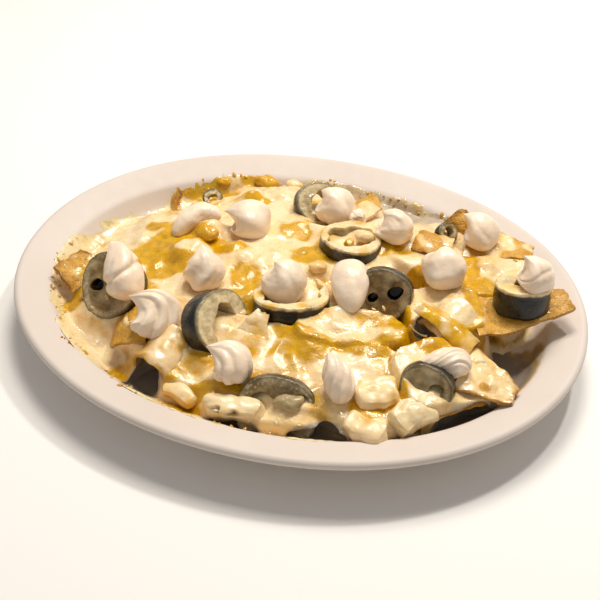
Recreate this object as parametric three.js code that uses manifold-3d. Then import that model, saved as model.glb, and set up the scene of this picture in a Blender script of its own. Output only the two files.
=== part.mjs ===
// Nachos baked on an oval stoneware platter: tortilla chips buried under melted cheese, with
// pickled jalapeno slices, chicken pieces and piped sour cream on top.
// Millimetres, +Z up, +X along the platter, the front at -Y, the origin under the platter's middle.
import * as THREE from "three";
import { mergeVertices } from "three/addons/utils/BufferGeometryUtils.js";
import Module from "manifold-3d";

const wasm = await Module();
wasm.setup();

// ---------------------------------------------------------------- driving dimensions

const GAP = 0.35; // air left between two pieces that touch
const HEAP_GAP = 0.525; // the same between the heap, which is coarser, and what lies on it
const PAST_EDGE = -20; // an inset beyond the platter's edge
const CEILING = 90; // above everything on the platter

const PLATTER = {
  length: 290,
  width: 225,
  squareness: 2.06, // exponent of the oval, 2 is an ellipse
  segments: 42,
  rimTop: 25,
  rimInner: 19.9, // height where the rim turns down into the well
  rimWidth: 16.2,
  lipRadius: 2.6,
  thickness: 4.2,
  shoulder: { run: 2, drop: 1.3 }, // where the rim has turned down into the wall
  wallFoot: { run: 7.2, rise: 3.5 }, // where the wall begins to turn out onto the floor
  wallRun: 11, // how far the well's wall slopes inward
  floorTop: 7,
  footInset: 30.5,
  footWidth: 3.6,
  footRise: 2, // height of the recess inside the foot ring
};

const HEAP = {
  segments: 70,
  ringInsets: [16.6, 18.8, 22, 26, 31, 37, 43, 49, 55, 62, 70, 79, 91],
  squareness: 4, // exponent of a fold's outline
  softness: 1.5, // how softly the cheese runs from one covered chip to the next
  filmSoftness: 0.6,
  filmDepth: 1.5, // thin baked cheese on the wall of the well
  filmSlope: 0.28,
  rimMargin: 17.4, // the film stops this far in from the platter's edge
  scallops: [{ height: 1.6, count: 11, phase: 0 }, { height: 1.2, count: 17, phase: 1 }],
  rippleHeight: 0.8,
};

// Bays where the film stops short and the glaze is bare: one at the back left and a large one at
// the right. Bearing and spread are in degrees.
const BAYS = [
  { bearing: 152, spread: 16, depth: 7.5 },
  { bearing: -14, spread: 30, depth: 55 },
];

// The covered chips that give the heap its folds. Each is a soft-edged pad of melted cheese:
// its middle, top height, heading, half length and half width, rise along and across, and drop.
const FOLDS = [
  { x: -84, y: -22, top: 19, heading: 10, length: 21, width: 19, along: 0.05, across: 0.02, drop: 22 },
  { x: -50, y: -52, top: 24, heading: -38, length: 20, width: 13, along: 0, across: 0.1, drop: 40 },
  { x: -14, y: -57, top: 25, heading: 0, length: 36, width: 20, along: 0.02, across: 0.24, drop: 30 },
  { x: -52, y: -2, top: 27, heading: 0, length: 36, width: 30, along: 0.06, across: 0.02, drop: 20 },
  { x: -52, y: 36, top: 23, heading: 22, length: 42, width: 20, along: 0.06, across: -0.14, drop: 18 },
  { x: 6, y: 56, top: 25, heading: -4, length: 50, width: 24, along: 0.02, across: -0.14, drop: 18 },
  { x: 6, y: 11, top: 30, heading: 0, length: 40, width: 29, along: 0.02, across: 0.03, drop: 24 },
  { x: 38, y: -30, top: 32, heading: 14, length: 25, width: 10, along: -0.06, across: 0.14, drop: 44 },
  { x: 40, y: -57, top: 26, heading: 0, length: 32, width: 20, along: 0, across: 0.22, drop: 46 },
  { x: 20, y: -76, top: 19, heading: 4, length: 34, width: 9, along: 0, across: 0.15, drop: 30 },
  { x: 77, y: -5, top: 34, heading: 25, length: 18, width: 15, along: -0.05, across: 0, drop: 70 },
  { x: 85, y: -42, top: 29, heading: 35, length: 21, width: 17, along: -0.12, across: 0.22, drop: 90 },
  { x: 76, y: 40, top: 30, heading: -10, length: 33, width: 27, along: -0.02, across: -0.1, drop: 66 },
  { x: 97, y: 20, top: 27, heading: -15, length: 15, width: 14, along: -0.05, across: 0.05, drop: 60 },
];

// Cheese-covered lumps of filling: middle, height above the heap and radius.
const LUMPS = [
  { x: -58, y: 2, height: 6, radius: 9.5 },
  { x: -57, y: 24, height: 4, radius: 8 },
  { x: 11, y: 4, height: 3.5, radius: 5.5 },
  { x: 26, y: 38, height: 3, radius: 6 },
  { x: 66, y: 58, height: 3, radius: 9 },
  { x: -24, y: -47, height: 3, radius: 7 },
  { x: -73, y: 50, height: 4, radius: 6 },
  { x: -46, y: 62, height: 4, radius: 7 },
  { x: -28, y: 70, height: 3, radius: 8 },
  { x: 58, y: -28, height: 2, radius: 8 },
  { x: -33, y: 5, height: 3, radius: 9 },
  { x: 54, y: 23, height: 3, radius: 8 },
  { x: 91, y: 38, height: 2.5, radius: 7 },
];

// Hollows under the overhanging cheese and chips at the front: middle, half sizes and heading.
const HOLLOWS = [
  { x: 40, y: -85, z: 9, length: 15, width: 12, height: 10, heading: 2 },
  { x: 0, y: -89, z: 9, length: 13, width: 7, height: 7, heading: 3 },
  { x: 76, y: -78, z: 8, length: 9, width: 9, height: 9, heading: 20 },
  { x: 102, y: -58, z: 10, length: 18, width: 13, height: 14, heading: 36 },
  { x: 73, y: -18.5, z: 31, length: 8, width: 7, height: 8, heading: 60 },
  { x: -46, y: -72, z: 12, length: 9.5, width: 17, height: 13, heading: -22 },
];

// Bare chips. Each lies along its heading from a buried base to a free tip; pitch lifts the tip,
// curl bends it down along its length and arch bends its sides down.
const CHIP = {
  thickness: 1.9,
  rows: 4,
  columns: 4,
  taper: 1.2, // exponent of how the width changes from base to tip
  waveHeight: 0.9,
  waveAlong: 5,
  waveAcross: 6,
};
const CHIPS = [
  { x: 87, y: -4, z: 30.3, heading: 25, pitch: -7, length: 51, base: 15.5, tip: 7, curl: -24, arch: 11 },
  { x: 76, y: 54, z: 30.5, heading: 0, pitch: -1, length: 35, base: 15, tip: 5, curl: 6, arch: 14 },
  { x: 73, y: 57, z: 26, heading: 100, pitch: 58, length: 16, base: 15, tip: 2, curl: 10, arch: 40 },
  { x: 92, y: -36, z: 28, heading: -13, pitch: -7, length: 27, base: 15, tip: 5, curl: 12, arch: 12 },
  { x: 86, y: -47, z: 25, heading: -52, pitch: -16, length: 14, base: 20, tip: 19, curl: 8, arch: 22 },
  { x: -104, y: -23, z: 15.5, heading: 165, pitch: 44, length: 17, base: 13, tip: 10, curl: 30, arch: -30 },
  { x: -56, y: -51, z: 26, heading: 200, pitch: -2, length: 21, base: 13, tip: 9, curl: 50, arch: 30 },
  { x: -39, y: -54, z: 30, heading: -112, pitch: -6, length: 23, base: 19, tip: 20, curl: 6, arch: 220 },
  { x: 86, y: -1, z: 37, heading: -125, pitch: -6, length: 24, base: 15, tip: 14, curl: 12, arch: 140 },
  { x: 65, y: -13, z: 39.5, heading: -19, pitch: -5, length: 34, base: 5, tip: 8, curl: 24, arch: 80 },
  { x: -93, y: 56, z: 9, heading: 40, pitch: 64, length: 12, base: 6, tip: 1.5, curl: 10, arch: 20 },
  { x: -6, y: -52, z: 23.5, heading: 80, pitch: 40, length: 19, base: 11, tip: 3, curl: 14, arch: 30 },
  { x: 72, y: 40, z: 34, heading: 175, pitch: 14, length: 20, base: 10, tip: 8, curl: 30, arch: 90 },
  { x: 14, y: 62, z: 25, heading: 35, pitch: 28, length: 15, base: 9, tip: 6, curl: 12, arch: 20 },
];

// Pickled jalapeno slices: the middle of the face that shows, radius, thickness, the heading and
// tilt of that face, the number of seed chambers and how much of the radius the first one takes.
const SLICE = {
  lobes: 3,
  lobeDepth: 0.04,
  segments: 15,
  chamberShrink: 0.28, // each further chamber is smaller by this share of the first
  chamberOffset: 0.42, // share of the radius that several chambers lie from the middle
  firstChamber: 1.9, // its angle round the slice, in radians
  chamberDepth: 0.12,
  chamberSegments: 10,
  smallChamberSegments: 5,
};
const SLICES = [
  { x: -85, y: -35, z: 28, radius: 16.5, thickness: 9, heading: -100, tilt: 48, chambers: 2, opening: 0.3 },
  { x: -19, y: -46, z: 31, radius: 16.5, thickness: 12, heading: -12, tilt: 57, chambers: 1, opening: 0.5 },
  { x: 5, y: -18, z: 33.5, radius: 18, thickness: 10, heading: 108, tilt: 14, chambers: 1, opening: 0.68 },
  { x: 48, y: -10, z: 36, radius: 13.2, thickness: 9, heading: -84, tilt: 62, chambers: 2, opening: 0.27 },
  { x: 21.5, y: 30, z: 36, radius: 15.5, thickness: 10, heading: 80, tilt: 7, chambers: 1, opening: 0.68 },
  { x: -4, y: 58, z: 31, radius: 13, thickness: 8, heading: -40, tilt: 40, chambers: 1, opening: 0.5 },
  { x: 110, y: 13, z: 42.3, radius: 12.8, thickness: 14, heading: 108, tilt: 13, chambers: 1, opening: 0.3 },
  { x: 79, y: -57, z: 28.5, radius: 12, thickness: 9, heading: -94, tilt: 60, chambers: 2, opening: 0.24 },
  { x: 18, y: -81, z: 16.3, radius: 18.5, thickness: 9, heading: -80, tilt: 54, chambers: 3, opening: 0.4 },
  { x: 68, y: 49, z: 36, radius: 5.5, thickness: 6, heading: -30, tilt: 40, chambers: 1, opening: 0.5 },
  { x: -70, y: 63, z: 17.5, radius: 5.5, thickness: 5, heading: -60, tilt: 30, chambers: 1, opening: 0.45 },
];

// Chicken pieces: middle, size along, across and up, heading and lean. Each is a block whose
// corners are drawn in from a reach on.
const BLOCK = { roundFrom: 0.55, rounding: 0.9, unevenness: 0.09 };
const CHICKEN = [
  { x: -1, y: -83, z: 17.5, length: 29, width: 11, height: 12, heading: 4, lean: 14 },
  { x: -28.5, y: -81, z: 15, length: 18, width: 7, height: 6, heading: -14, lean: 8 },
  { x: 58, y: -78, z: 19, length: 22, width: 13, height: 11, heading: -10, lean: 10 },
  { x: 60, y: -61, z: 25, length: 21, width: 16, height: 9, heading: 20, lean: 12 },
  { x: 76, y: -67, z: 22, length: 21, width: 15, height: 11, heading: 52, lean: 24 },
];

// Sour cream, piped warm from a star nozzle. A dollop runs from its foot over a shoulder to its
// peak; radii are half widths across and along the heading, and ridges follow the nozzle's star.
const DOLLOP = { runs: [0, 0.22, 0.46, 0.7, 0.88], bluntShare: 0.25, kissFoot: 0.5 };
const CREAM = [
  { foot: [-74, -40, 25], shoulder: [-78, -27, 42], peak: [-90.5, -19.5, 42.5], across: 9.5, along: 10.5, heading: 118, ridges: 5, depth: 0.05, twist: 40 },
  { foot: [-52, -57, 22], shoulder: [-48, -48, 38], peak: [-66, -50, 38.5], across: 9, along: 12.5, heading: 50, ridges: 6, depth: 0.05, twist: 40 },
  { foot: [-41.5, -17, 26], shoulder: [-40.5, -17, 40], peak: [-44.5, -10, 45], across: 9.5, along: 10, heading: 100, ridges: 5, depth: 0.08, twist: 30 },
  { foot: [-71, 14, 26], shoulder: [-63, 34, 36], peak: [-50, 28, 31], across: 6.5, along: 6.5, heading: 90, ridges: 5, depth: 0.04, twist: 0, kind: "rope" },
  { foot: [-33, 27, 27], shoulder: [-30, 29, 41], peak: [-49, 29.5, 36], across: 11.5, along: 10.5, heading: 0, ridges: 5, depth: 0.06, twist: 20 },
  { foot: [0, -16, 29], shoulder: [2, -16, 46], peak: [-5, -15.5, 48], across: 10.8, along: 10.5, heading: 0, ridges: 5, depth: 0.05, twist: 40 },
  { foot: [5, 54, 25.5], shoulder: [7, 54, 41.5], peak: [-3.5, 56, 41.5], across: 10.3, along: 10, heading: 30, ridges: 5, depth: 0.05, twist: 30 },
  { foot: [17, 53, 27], shoulder: [18, 53, 34], peak: [22, 50, 33], across: 5.5, along: 4.5, heading: -20, ridges: 5, depth: 0.04, twist: 0 },
  { foot: [41, 40, 32], shoulder: [43, 40, 45], peak: [33.5, 41.5, 46.5], across: 9.3, along: 9, heading: 60, ridges: 5, depth: 0.05, twist: 20 },
  { foot: [28, 3, 36], shoulder: [31, -8, 46], peak: [36, -24, 31.5], across: 10.5, along: 8, heading: 90, ridges: 5, depth: 0.04, twist: 0, kind: "rope" },
  { foot: [72, 15, 32], shoulder: [72, 15, 48], peak: [70, 20, 49], across: 12.4, along: 10.8, heading: 15, ridges: 5, depth: 0.05, twist: 30 },
  { foot: [84, 52, 30], shoulder: [86, 52, 43], peak: [73, 54, 45], across: 9.8, along: 8.5, heading: -15, ridges: 5, depth: 0.05, twist: 20 },
  { foot: [114.5, 12, 42.5], shoulder: [117.5, 12, 52.5], peak: [107.5, 14, 57.5], across: 9, along: 8.5, heading: -10, ridges: 5, depth: 0.06, twist: 30 },
  { foot: [-6, -70, 23], shoulder: [-4, -68, 36], peak: [-19.5, -67.5, 36], across: 7.9, along: 10.2, heading: 70, ridges: 6, depth: 0.06, twist: 40 },
  { foot: [45, -69, 22], shoulder: [41, -62, 37], peak: [34.5, -57, 38.5], across: 7, along: 7.6, heading: 90, ridges: 6, depth: 0.05, twist: 60, kind: "drop" },
  { foot: [95, -40, 30], shoulder: [86, -40, 38], peak: [73.5, -48.5, 34.5], across: 6.7, along: 6.8, heading: 90, ridges: 6, depth: 0.05, twist: 20, kind: "drop" },
];

// ---------------------------------------------------------------- small helpers

const radians = THREE.MathUtils.degToRad;
const halfLength = PLATTER.length / 2;
const halfWidth = PLATTER.width / 2;

function seeded(seed) {
  let state = seed;
  return () => {
    state = (state * 1664525 + 1013904223) % 4294967296;
    return state / 4294967296;
  };
}

function withSharedVertices(geometry) {
  const bare = geometry.clone();
  bare.deleteAttribute("normal");
  bare.deleteAttribute("uv");
  return mergeVertices(bare, 1e-4);
}

function toSolid(geometry) {
  const merged = withSharedVertices(geometry);
  return new wasm.Manifold(new wasm.Mesh({
    numProp: 3,
    vertProperties: new Float32Array(merged.attributes.position.array),
    triVerts: new Uint32Array(merged.index.array),
  }));
}

function toGeometry(solid) {
  const { vertProperties, triVerts } = solid.getMesh();
  const geometry = new THREE.BufferGeometry();
  geometry.setAttribute("position", new THREE.BufferAttribute(vertProperties, 3));
  geometry.setIndex(new THREE.BufferAttribute(triVerts, 1));
  return geometry;
}

// A cut can leave crumbs behind: only the largest body is kept.
function largestBody(solid) {
  return solid.decompose().reduce((a, b) => (b.volume() > a.volume() ? b : a));
}

// A closed skin through rings of points, with a point at each end.
function ringSkin(rings, startPoint, endPoint) {
  const count = rings[0].length;
  const points = [startPoint, ...rings.flat(), endPoint];
  const last = points.length - 1;
  const index = [];
  const at = (ring, step) => 1 + ring * count + (step % count);
  for (let step = 0; step < count; step++) {
    index.push(0, at(0, step + 1), at(0, step));
    index.push(last, at(rings.length - 1, step), at(rings.length - 1, step + 1));
    for (let ring = 0; ring + 1 < rings.length; ring++) {
      index.push(at(ring, step), at(ring, step + 1), at(ring + 1, step));
      index.push(at(ring + 1, step), at(ring, step + 1), at(ring + 1, step + 1));
    }
  }
  const geometry = new THREE.BufferGeometry().setFromPoints(points);
  geometry.setIndex(index);
  return geometry;
}

// ---------------------------------------------------------------- platter

// Half axes of the oval that lies a given inset from the platter's edge. Inside the foot ring
// they shrink together, so that the floor closes in one point.
function halfAxes(inset) {
  const across = halfWidth - inset;
  const core = halfWidth - PLATTER.footInset - 2 * PLATTER.footWidth;
  const stretch = halfLength - halfWidth;
  return [across + stretch * Math.min(1, across / core), across];
}

// Points round the oval that lies a given inset from the edge, evenly spread in angle.
function ovalPoint(inset, angle) {
  const [along, across] = halfAxes(inset);
  const power = 2 / PLATTER.squareness;
  const [c, s] = [Math.cos(angle), Math.sin(angle)];
  return [Math.sign(c) * Math.abs(c) ** power * along, Math.sign(s) * Math.abs(s) ** power * across];
}

function ovalRing(inset, segments) {
  return Array.from({ length: segments }, (_, step) => ovalPoint(inset, (step / segments) * 2 * Math.PI));
}

// Distance in from the edge of the platter at a point of the plan.
function insetAt(x, y) {
  let low = 0;
  let high = halfWidth;
  for (let step = 0; step < 30; step++) {
    const middle = (low + high) / 2;
    const [along, across] = halfAxes(middle);
    const outside = Math.abs(x / along) ** PLATTER.squareness + Math.abs(y / across) ** PLATTER.squareness;
    if (outside < 1) low = middle;
    else high = middle;
  }
  return low;
}

// The upper surface from the rim's crest to the middle, as [inset, height].
function upperProfile() {
  const { lipRadius, rimTop, rimWidth, rimInner, shoulder, wallFoot, wallRun, floorTop } = PLATTER;
  return [
    [lipRadius, rimTop],
    [rimWidth, rimInner],
    [rimWidth + shoulder.run, rimInner - shoulder.drop],
    [rimWidth + wallFoot.run, floorTop + wallFoot.rise],
    [rimWidth + wallRun + 1, floorTop],
    [halfWidth, floorTop],
  ];
}

function heightOfPlatter(inset) {
  const profile = upperProfile();
  const next = profile.findIndex(([reach]) => reach >= inset);
  if (next === 0) return PLATTER.rimTop;
  const [fromInset, fromHeight] = profile[next - 1];
  const [toInset, toHeight] = profile[next];
  return fromHeight + ((toHeight - fromHeight) * (inset - fromInset)) / (toInset - fromInset);
}

// Turns a profile of [inset, height] points, written from the bottom up, into an oval solid.
function ovalSolid(profile) {
  const points = profile.map(([inset, height]) => new THREE.Vector2(halfWidth - inset, height));
  const geometry = new THREE.LatheGeometry(points, PLATTER.segments).rotateX(Math.PI / 2);
  const place = geometry.attributes.position;
  for (let i = 0; i < place.count; i++) {
    const radius = Math.hypot(place.getX(i), place.getY(i));
    if (radius < 1e-6) continue;
    const [x, y] = ovalPoint(halfWidth - radius, Math.atan2(place.getY(i), place.getX(i)));
    place.setXY(i, x, y);
  }
  return toSolid(geometry);
}

function platter() {
  const { lipRadius, rimTop, rimWidth, rimInner, thickness, footInset, footWidth, footRise } = PLATTER;
  const under = [
    [halfWidth, footRise],
    [footInset + footWidth + 1, footRise],
    [footInset + footWidth, 0],
    [footInset, 0],
    [footInset - 1.2, footRise],
    [rimWidth + 4.5, rimInner - thickness - 6.5],
    [rimWidth + 0.4, rimInner - thickness],
    [lipRadius + 1, rimTop - thickness - 1.2],
    [0.5, rimTop - 1.5 * lipRadius],
    [0, rimTop - lipRadius],
    [0.7, rimTop - 0.8],
  ];
  return ovalSolid([...under, ...upperProfile()]);
}

// ---------------------------------------------------------------- melted cheese

function softMax(heights, softness) {
  const top = Math.max(...heights);
  const sum = heights.reduce((total, height) => total + Math.exp((height - top) / softness), 0);
  return top + softness * Math.log(sum);
}

function foldHeight(fold, x, y) {
  const c = Math.cos(radians(fold.heading));
  const s = Math.sin(radians(fold.heading));
  const along = (x - fold.x) * c + (y - fold.y) * s;
  const across = (y - fold.y) * c - (x - fold.x) * s;
  const power = HEAP.squareness;
  const reach = (Math.abs(along / fold.length) ** power + Math.abs(across / fold.width) ** power) ** (1 / power);
  return fold.top + along * fold.along + across * fold.across - Math.max(0, reach - 1) * fold.drop;
}

// The film reaches up to the rim in scallops, except in the bays.
function filmHeight(x, y) {
  const inset = insetAt(x, y);
  const bearing = Math.atan2(y / halfWidth, x / halfLength);
  let edge = HEAP.rimMargin;
  for (const { height, count, phase } of HEAP.scallops) edge += height * Math.sin(count * bearing + phase);
  for (const bay of BAYS) {
    const off = bearing - radians(bay.bearing);
    const turn = Math.atan2(Math.sin(off), Math.cos(off));
    edge += bay.depth * Math.exp(-((turn / radians(bay.spread)) ** 2));
  }
  return heightOfPlatter(inset) + Math.min(HEAP.filmDepth, HEAP.filmSlope * (inset - edge));
}

function heapHeight(x, y) {
  let height = softMax(FOLDS.map((fold) => foldHeight(fold, x, y)), HEAP.softness);
  for (const lump of LUMPS) {
    const reach = Math.hypot(x - lump.x, y - lump.y) / lump.radius;
    height += lump.height * Math.exp(-(reach ** 4));
  }
  const ripple = Math.sin(x / 4.1 + 1.3 * Math.sin(y / 6.3)) * Math.cos(y / 4.7 + 1.1 * Math.sin(x / 7.7));
  return softMax([height + HEAP.rippleHeight * ripple, filmHeight(x, y)], HEAP.filmSoftness);
}

// A block whose top is the heap's surface, moved out along its normals by a given growth. Its
// points lie on ovals that follow the platter's wall, so that the thin film lies true on it.
function heapBlock(growth) {
  const topRings = HEAP.ringInsets.map((inset) => {
    const ring = ovalRing(inset, HEAP.segments);
    return ring.map(([x, y]) => new THREE.Vector3(x, y, heapHeight(x, y)));
  });
  const bottomRing = topRings[0].map(({ x, y }) => new THREE.Vector3(x, y, 0));
  const crown = new THREE.Vector3(0, 0, heapHeight(0, 0));
  const geometry = ringSkin([bottomRing, ...topRings], new THREE.Vector3(), crown);
  geometry.computeVertexNormals();
  const place = geometry.attributes.position;
  const normal = geometry.attributes.normal;
  for (let i = 0; i < place.count; i++) {
    place.setX(i, place.getX(i) + growth * normal.getX(i));
    place.setY(i, place.getY(i) + growth * normal.getY(i));
    place.setZ(i, place.getZ(i) + growth * normal.getZ(i));
  }
  return toSolid(geometry);
}

function hollowSolid(hollow) {
  const geometry = new THREE.SphereGeometry(1, 8, 6);
  geometry.scale(hollow.length, hollow.width, hollow.height);
  geometry.rotateZ(radians(hollow.heading)).translate(hollow.x, hollow.y, hollow.z);
  return toSolid(geometry);
}

// The air over the platter as a solid that stands clear of the glaze by the gap, out to a given
// inset from the edge.
function airSolid(outerInset) {
  const surface = upperProfile().filter(([inset]) => inset > outerInset).reverse();
  const raised = surface.map(([inset, height]) => [Math.min(halfWidth, inset + GAP), height + GAP]);
  const edge = Math.min(outerInset, raised.at(-1)[0]);
  const edgeHeight = heightOfPlatter(outerInset) + GAP;
  return ovalSolid([...raised, [edge, edgeHeight], [edge, CEILING], [halfWidth, CEILING]]);
}

function meltedCheese() {
  let heap = heapBlock(0).intersect(airSolid(PLATTER.rimWidth + 0.5));
  for (const hollow of HOLLOWS) heap = heap.subtract(hollowSolid(hollow));
  return largestBody(heap);
}

// ---------------------------------------------------------------- tortilla chips

// A thin plate, bent along its length and across it, with both faces split alike.
function chip(spec, growth) {
  const { rows, columns } = CHIP;
  const half = CHIP.thickness / 2 + growth;
  const random = seeded(Math.round(spec.x * 7 + spec.y * 13 + 900));
  const phase = random() * 6;
  const points = [];
  for (const side of [1, -1]) {
    for (let row = 0; row <= rows; row++) {
      for (let column = 0; column <= columns; column++) {
        const run = row / rows;
        const edge = spec.base + (spec.tip - spec.base) * run ** CHIP.taper + growth;
        const across = edge * ((2 * column) / columns - 1);
        const along = (spec.length + growth) * run - growth * (1 - run);
        const curl = radians(spec.curl) || 1e-3;
        const arch = radians(spec.arch) || 1e-3;
        const bow = spec.length / curl;
        const hoop = (2 * spec.base) / arch;
        const sway = Math.sin(along / CHIP.waveAlong + phase) * Math.cos(across / CHIP.waveAcross + phase);
        const wave = CHIP.waveHeight * sway;
        const lift = side * half + wave;
        const x = (bow + lift) * Math.sin(along / bow);
        const y = (hoop + lift) * Math.sin(across / hoop);
        const z = lift - (bow + lift) * (1 - Math.cos(along / bow)) - (hoop + lift) * (1 - Math.cos(across / hoop));
        points.push(new THREE.Vector3(x, y, z));
      }
    }
  }
  const count = (rows + 1) * (columns + 1);
  const at = (row, column) => row * (columns + 1) + column;
  const index = [];
  for (let row = 0; row < rows; row++) {
    for (let column = 0; column < columns; column++) {
      const [a, b, c, d] = [at(row, column), at(row + 1, column), at(row + 1, column + 1), at(row, column + 1)];
      index.push(a, b, c, a, c, d, a + count, c + count, b + count, a + count, d + count, c + count);
    }
  }
  const seal = (a, b) => index.push(a, b, b + count, a, b + count, a + count);
  for (let column = 0; column < columns; column++) {
    seal(at(0, column), at(0, column + 1));
    seal(at(rows, column + 1), at(rows, column));
  }
  for (let row = 0; row < rows; row++) {
    seal(at(row + 1, 0), at(row, 0));
    seal(at(row, columns), at(row + 1, columns));
  }
  const geometry = new THREE.BufferGeometry().setFromPoints(points);
  geometry.setIndex(index);
  geometry.rotateY(radians(-spec.pitch)).rotateZ(radians(spec.heading));
  geometry.translate(spec.x, spec.y, spec.z);
  return toSolid(geometry);
}

// ---------------------------------------------------------------- jalapeno slices

function roundOutline(radius, waves, depth, steps) {
  const points = [];
  for (let step = 0; step < steps; step++) {
    const angle = (step / steps) * 2 * Math.PI;
    const reach = radius * (1 + depth * Math.cos(waves * angle + 0.6));
    points.push(new THREE.Vector2(reach * Math.cos(angle), reach * Math.sin(angle)));
  }
  return points;
}

function slice(spec, growth) {
  const outline = new THREE.Shape(roundOutline(spec.radius + growth, SLICE.lobes, SLICE.lobeDepth, SLICE.segments));
  const offset = spec.chambers > 1 ? spec.radius * SLICE.chamberOffset : 0;
  const segments = spec.chambers > 1 ? SLICE.smallChamberSegments : SLICE.chamberSegments;
  for (let turn = 0; turn < spec.chambers; turn++) {
    const chamber = spec.radius * spec.opening * (1 - SLICE.chamberShrink * turn) - growth;
    const angle = (turn / spec.chambers) * 2 * Math.PI + SLICE.firstChamber;
    const rim = roundOutline(chamber, 2, SLICE.chamberDepth, segments);
    for (const point of rim) point.add(new THREE.Vector2(offset * Math.cos(angle), offset * Math.sin(angle)));
    outline.holes.push(new THREE.Path(rim));
  }
  const depth = spec.thickness + 2 * growth;
  const geometry = new THREE.ExtrudeGeometry(outline, { depth, steps: 1, bevelEnabled: false });
  geometry.translate(0, 0, growth - depth);
  geometry.rotateY(radians(spec.tilt)).rotateZ(radians(spec.heading));
  geometry.translate(spec.x, spec.y, spec.z);
  return toSolid(geometry);
}

// ---------------------------------------------------------------- chicken

function chickenPiece(spec, growth) {
  const size = [spec.length, spec.width, spec.height].map((side) => side + 2 * growth);
  const geometry = new THREE.BoxGeometry(...size, 3, 2, 2);
  const random = seeded(Math.round(spec.x * 11 + spec.y * 5 + 700));
  const merged = withSharedVertices(geometry);
  const place = merged.attributes.position;
  const middle = new THREE.Vector3();
  for (let i = 0; i < place.count; i++) {
    middle.fromBufferAttribute(place, i);
    const scaled = new THREE.Vector3(middle.x / size[0], middle.y / size[1], middle.z / size[2]);
    const corner = Math.max(0, scaled.length() - BLOCK.roundFrom);
    const shrink = 1 - corner * BLOCK.rounding - BLOCK.unevenness * (random() - 0.5);
    place.setXYZ(i, middle.x * shrink, middle.y * shrink, middle.z * shrink);
  }
  merged.rotateX(radians(spec.lean)).rotateZ(radians(spec.heading)).translate(spec.x, spec.y, spec.z);
  return toSolid(merged);
}

// ---------------------------------------------------------------- sour cream

// A kiss narrows to a pulled point, a drop is round at its foot and tapers, and a rope keeps its
// width and is blunt at both ends.
function girth(spec, run) {
  if (spec.kind === "rope") return Math.sqrt(Math.max(0, 1 - Math.abs(2 * run - 0.94) ** 3)) * (1 - 0.25 * run);
  if (spec.kind === "drop") return Math.sin(Math.PI * Math.max(run, 0.03) ** 0.6) ** 0.7;
  return (1 - run ** 2.4) ** 1.1 * (0.86 + 1.1 * run * (1 - run));
}

function dollop(spec, growth) {
  const [foot, shoulder, peak] = [spec.foot, spec.shoulder, spec.peak].map((p) => new THREE.Vector3(...p));
  const curve = new THREE.QuadraticBezierCurve3(foot, shoulder, peak);
  const steps = 2 * spec.ridges;
  const side = new THREE.Vector3(Math.cos(radians(spec.heading - 90)), Math.sin(radians(spec.heading - 90)), 0);
  const rings = [];
  for (const run of DOLLOP.runs) {
    const middle = curve.getPoint(run);
    const forward = curve.getTangent(run);
    const width = side.clone().addScaledVector(forward, -side.dot(forward)).normalize();
    const depth = forward.clone().cross(width);
    const ring = [];
    for (let step = 0; step < steps; step++) {
      const angle = (step / steps) * 2 * Math.PI;
      const ridge = 1 + spec.depth * Math.cos(spec.ridges * angle);
      const turn = angle + radians(spec.twist) * run;
      const size = girth(spec, run) * ridge;
      const point = middle.clone();
      point.addScaledVector(width, (spec.across * size + growth) * Math.cos(turn));
      point.addScaledVector(depth, (spec.along * size + growth) * Math.sin(turn));
      ring.push(point);
    }
    rings.push(ring);
  }
  const footDepth = spec.kind ? DOLLOP.bluntShare * spec.across : DOLLOP.kissFoot;
  const lowest = foot.clone().addScaledVector(curve.getTangent(0), -footDepth);
  return toSolid(ringSkin(rings, lowest, peak));
}

// ---------------------------------------------------------------- assembly

const finish = (color, roughness) => new THREE.MeshStandardMaterial({ color, roughness, metalness: 0 });
const FINISHES = {
  glaze: finish("#ece2d6", 0.25),
  cheese: finish("#f0cf7c", 0.35),
  chip: finish("#d7a23c", 0.6),
  jalapeno: finish("#5a5643", 0.35),
  chicken: finish("#ead2a0", 0.5),
  cream: finish("#fbeedd", 0.3),
};

const nachos = new THREE.Group();
nachos.name = "nachos";

function addPiece(name, solid, material) {
  const mesh = new THREE.Mesh(toGeometry(solid), material);
  mesh.name = name;
  nachos.add(mesh);
}

addPiece("platter", platter(), FINISHES.glaze);
addPiece("melted_cheese", meltedCheese(), FINISHES.cheese);

// Each topping is cut back from all that was laid before it, grown by the gap.
const laid = [heapBlock(HEAP_GAP)];
const overPlatter = airSolid(PAST_EDGE);
const boxesMeet = (a, b) => [0, 1, 2].every((axis) => a.min[axis] < b.max[axis] && b.min[axis] < a.max[axis]);

function layTopping(name, make, spec, material) {
  let solid = make(spec, 0).intersect(overPlatter);
  for (const neighbour of laid) {
    if (boxesMeet(solid.boundingBox(), neighbour.boundingBox())) solid = solid.subtract(neighbour);
  }
  addPiece(name, largestBody(solid), material);
  laid.push(make(spec, GAP));
}

const numbered = (name, index) => `${name}_${String(index + 1).padStart(2, "0")}`;
CHIPS.forEach((spec, i) => layTopping(numbered("tortilla_chip", i), chip, spec, FINISHES.chip));
SLICES.forEach((spec, i) => layTopping(numbered("jalapeno_slice", i), slice, spec, FINISHES.jalapeno));
CHICKEN.forEach((spec, i) => layTopping(numbered("chicken_piece", i), chickenPiece, spec, FINISHES.chicken));
CREAM.forEach((spec, i) => layTopping(numbered("sour_cream", i), dollop, spec, FINISHES.cream));

export default nachos;
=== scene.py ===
# %% [markdown]
# # Nachos on an oval platter
#
# A starter for two: corn chips buried under two melted cheeses, baked on a glazed stoneware
# platter, with pickled pepper slices, diced chicken and piped sour cream on top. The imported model
# gives every piece its size and place. This lesson makes the surfaces that the eye meets: each
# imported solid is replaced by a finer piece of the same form.
#
# All lengths are in millimetres until the last moment, when a piece's points are written in metres.

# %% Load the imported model
import math

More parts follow.
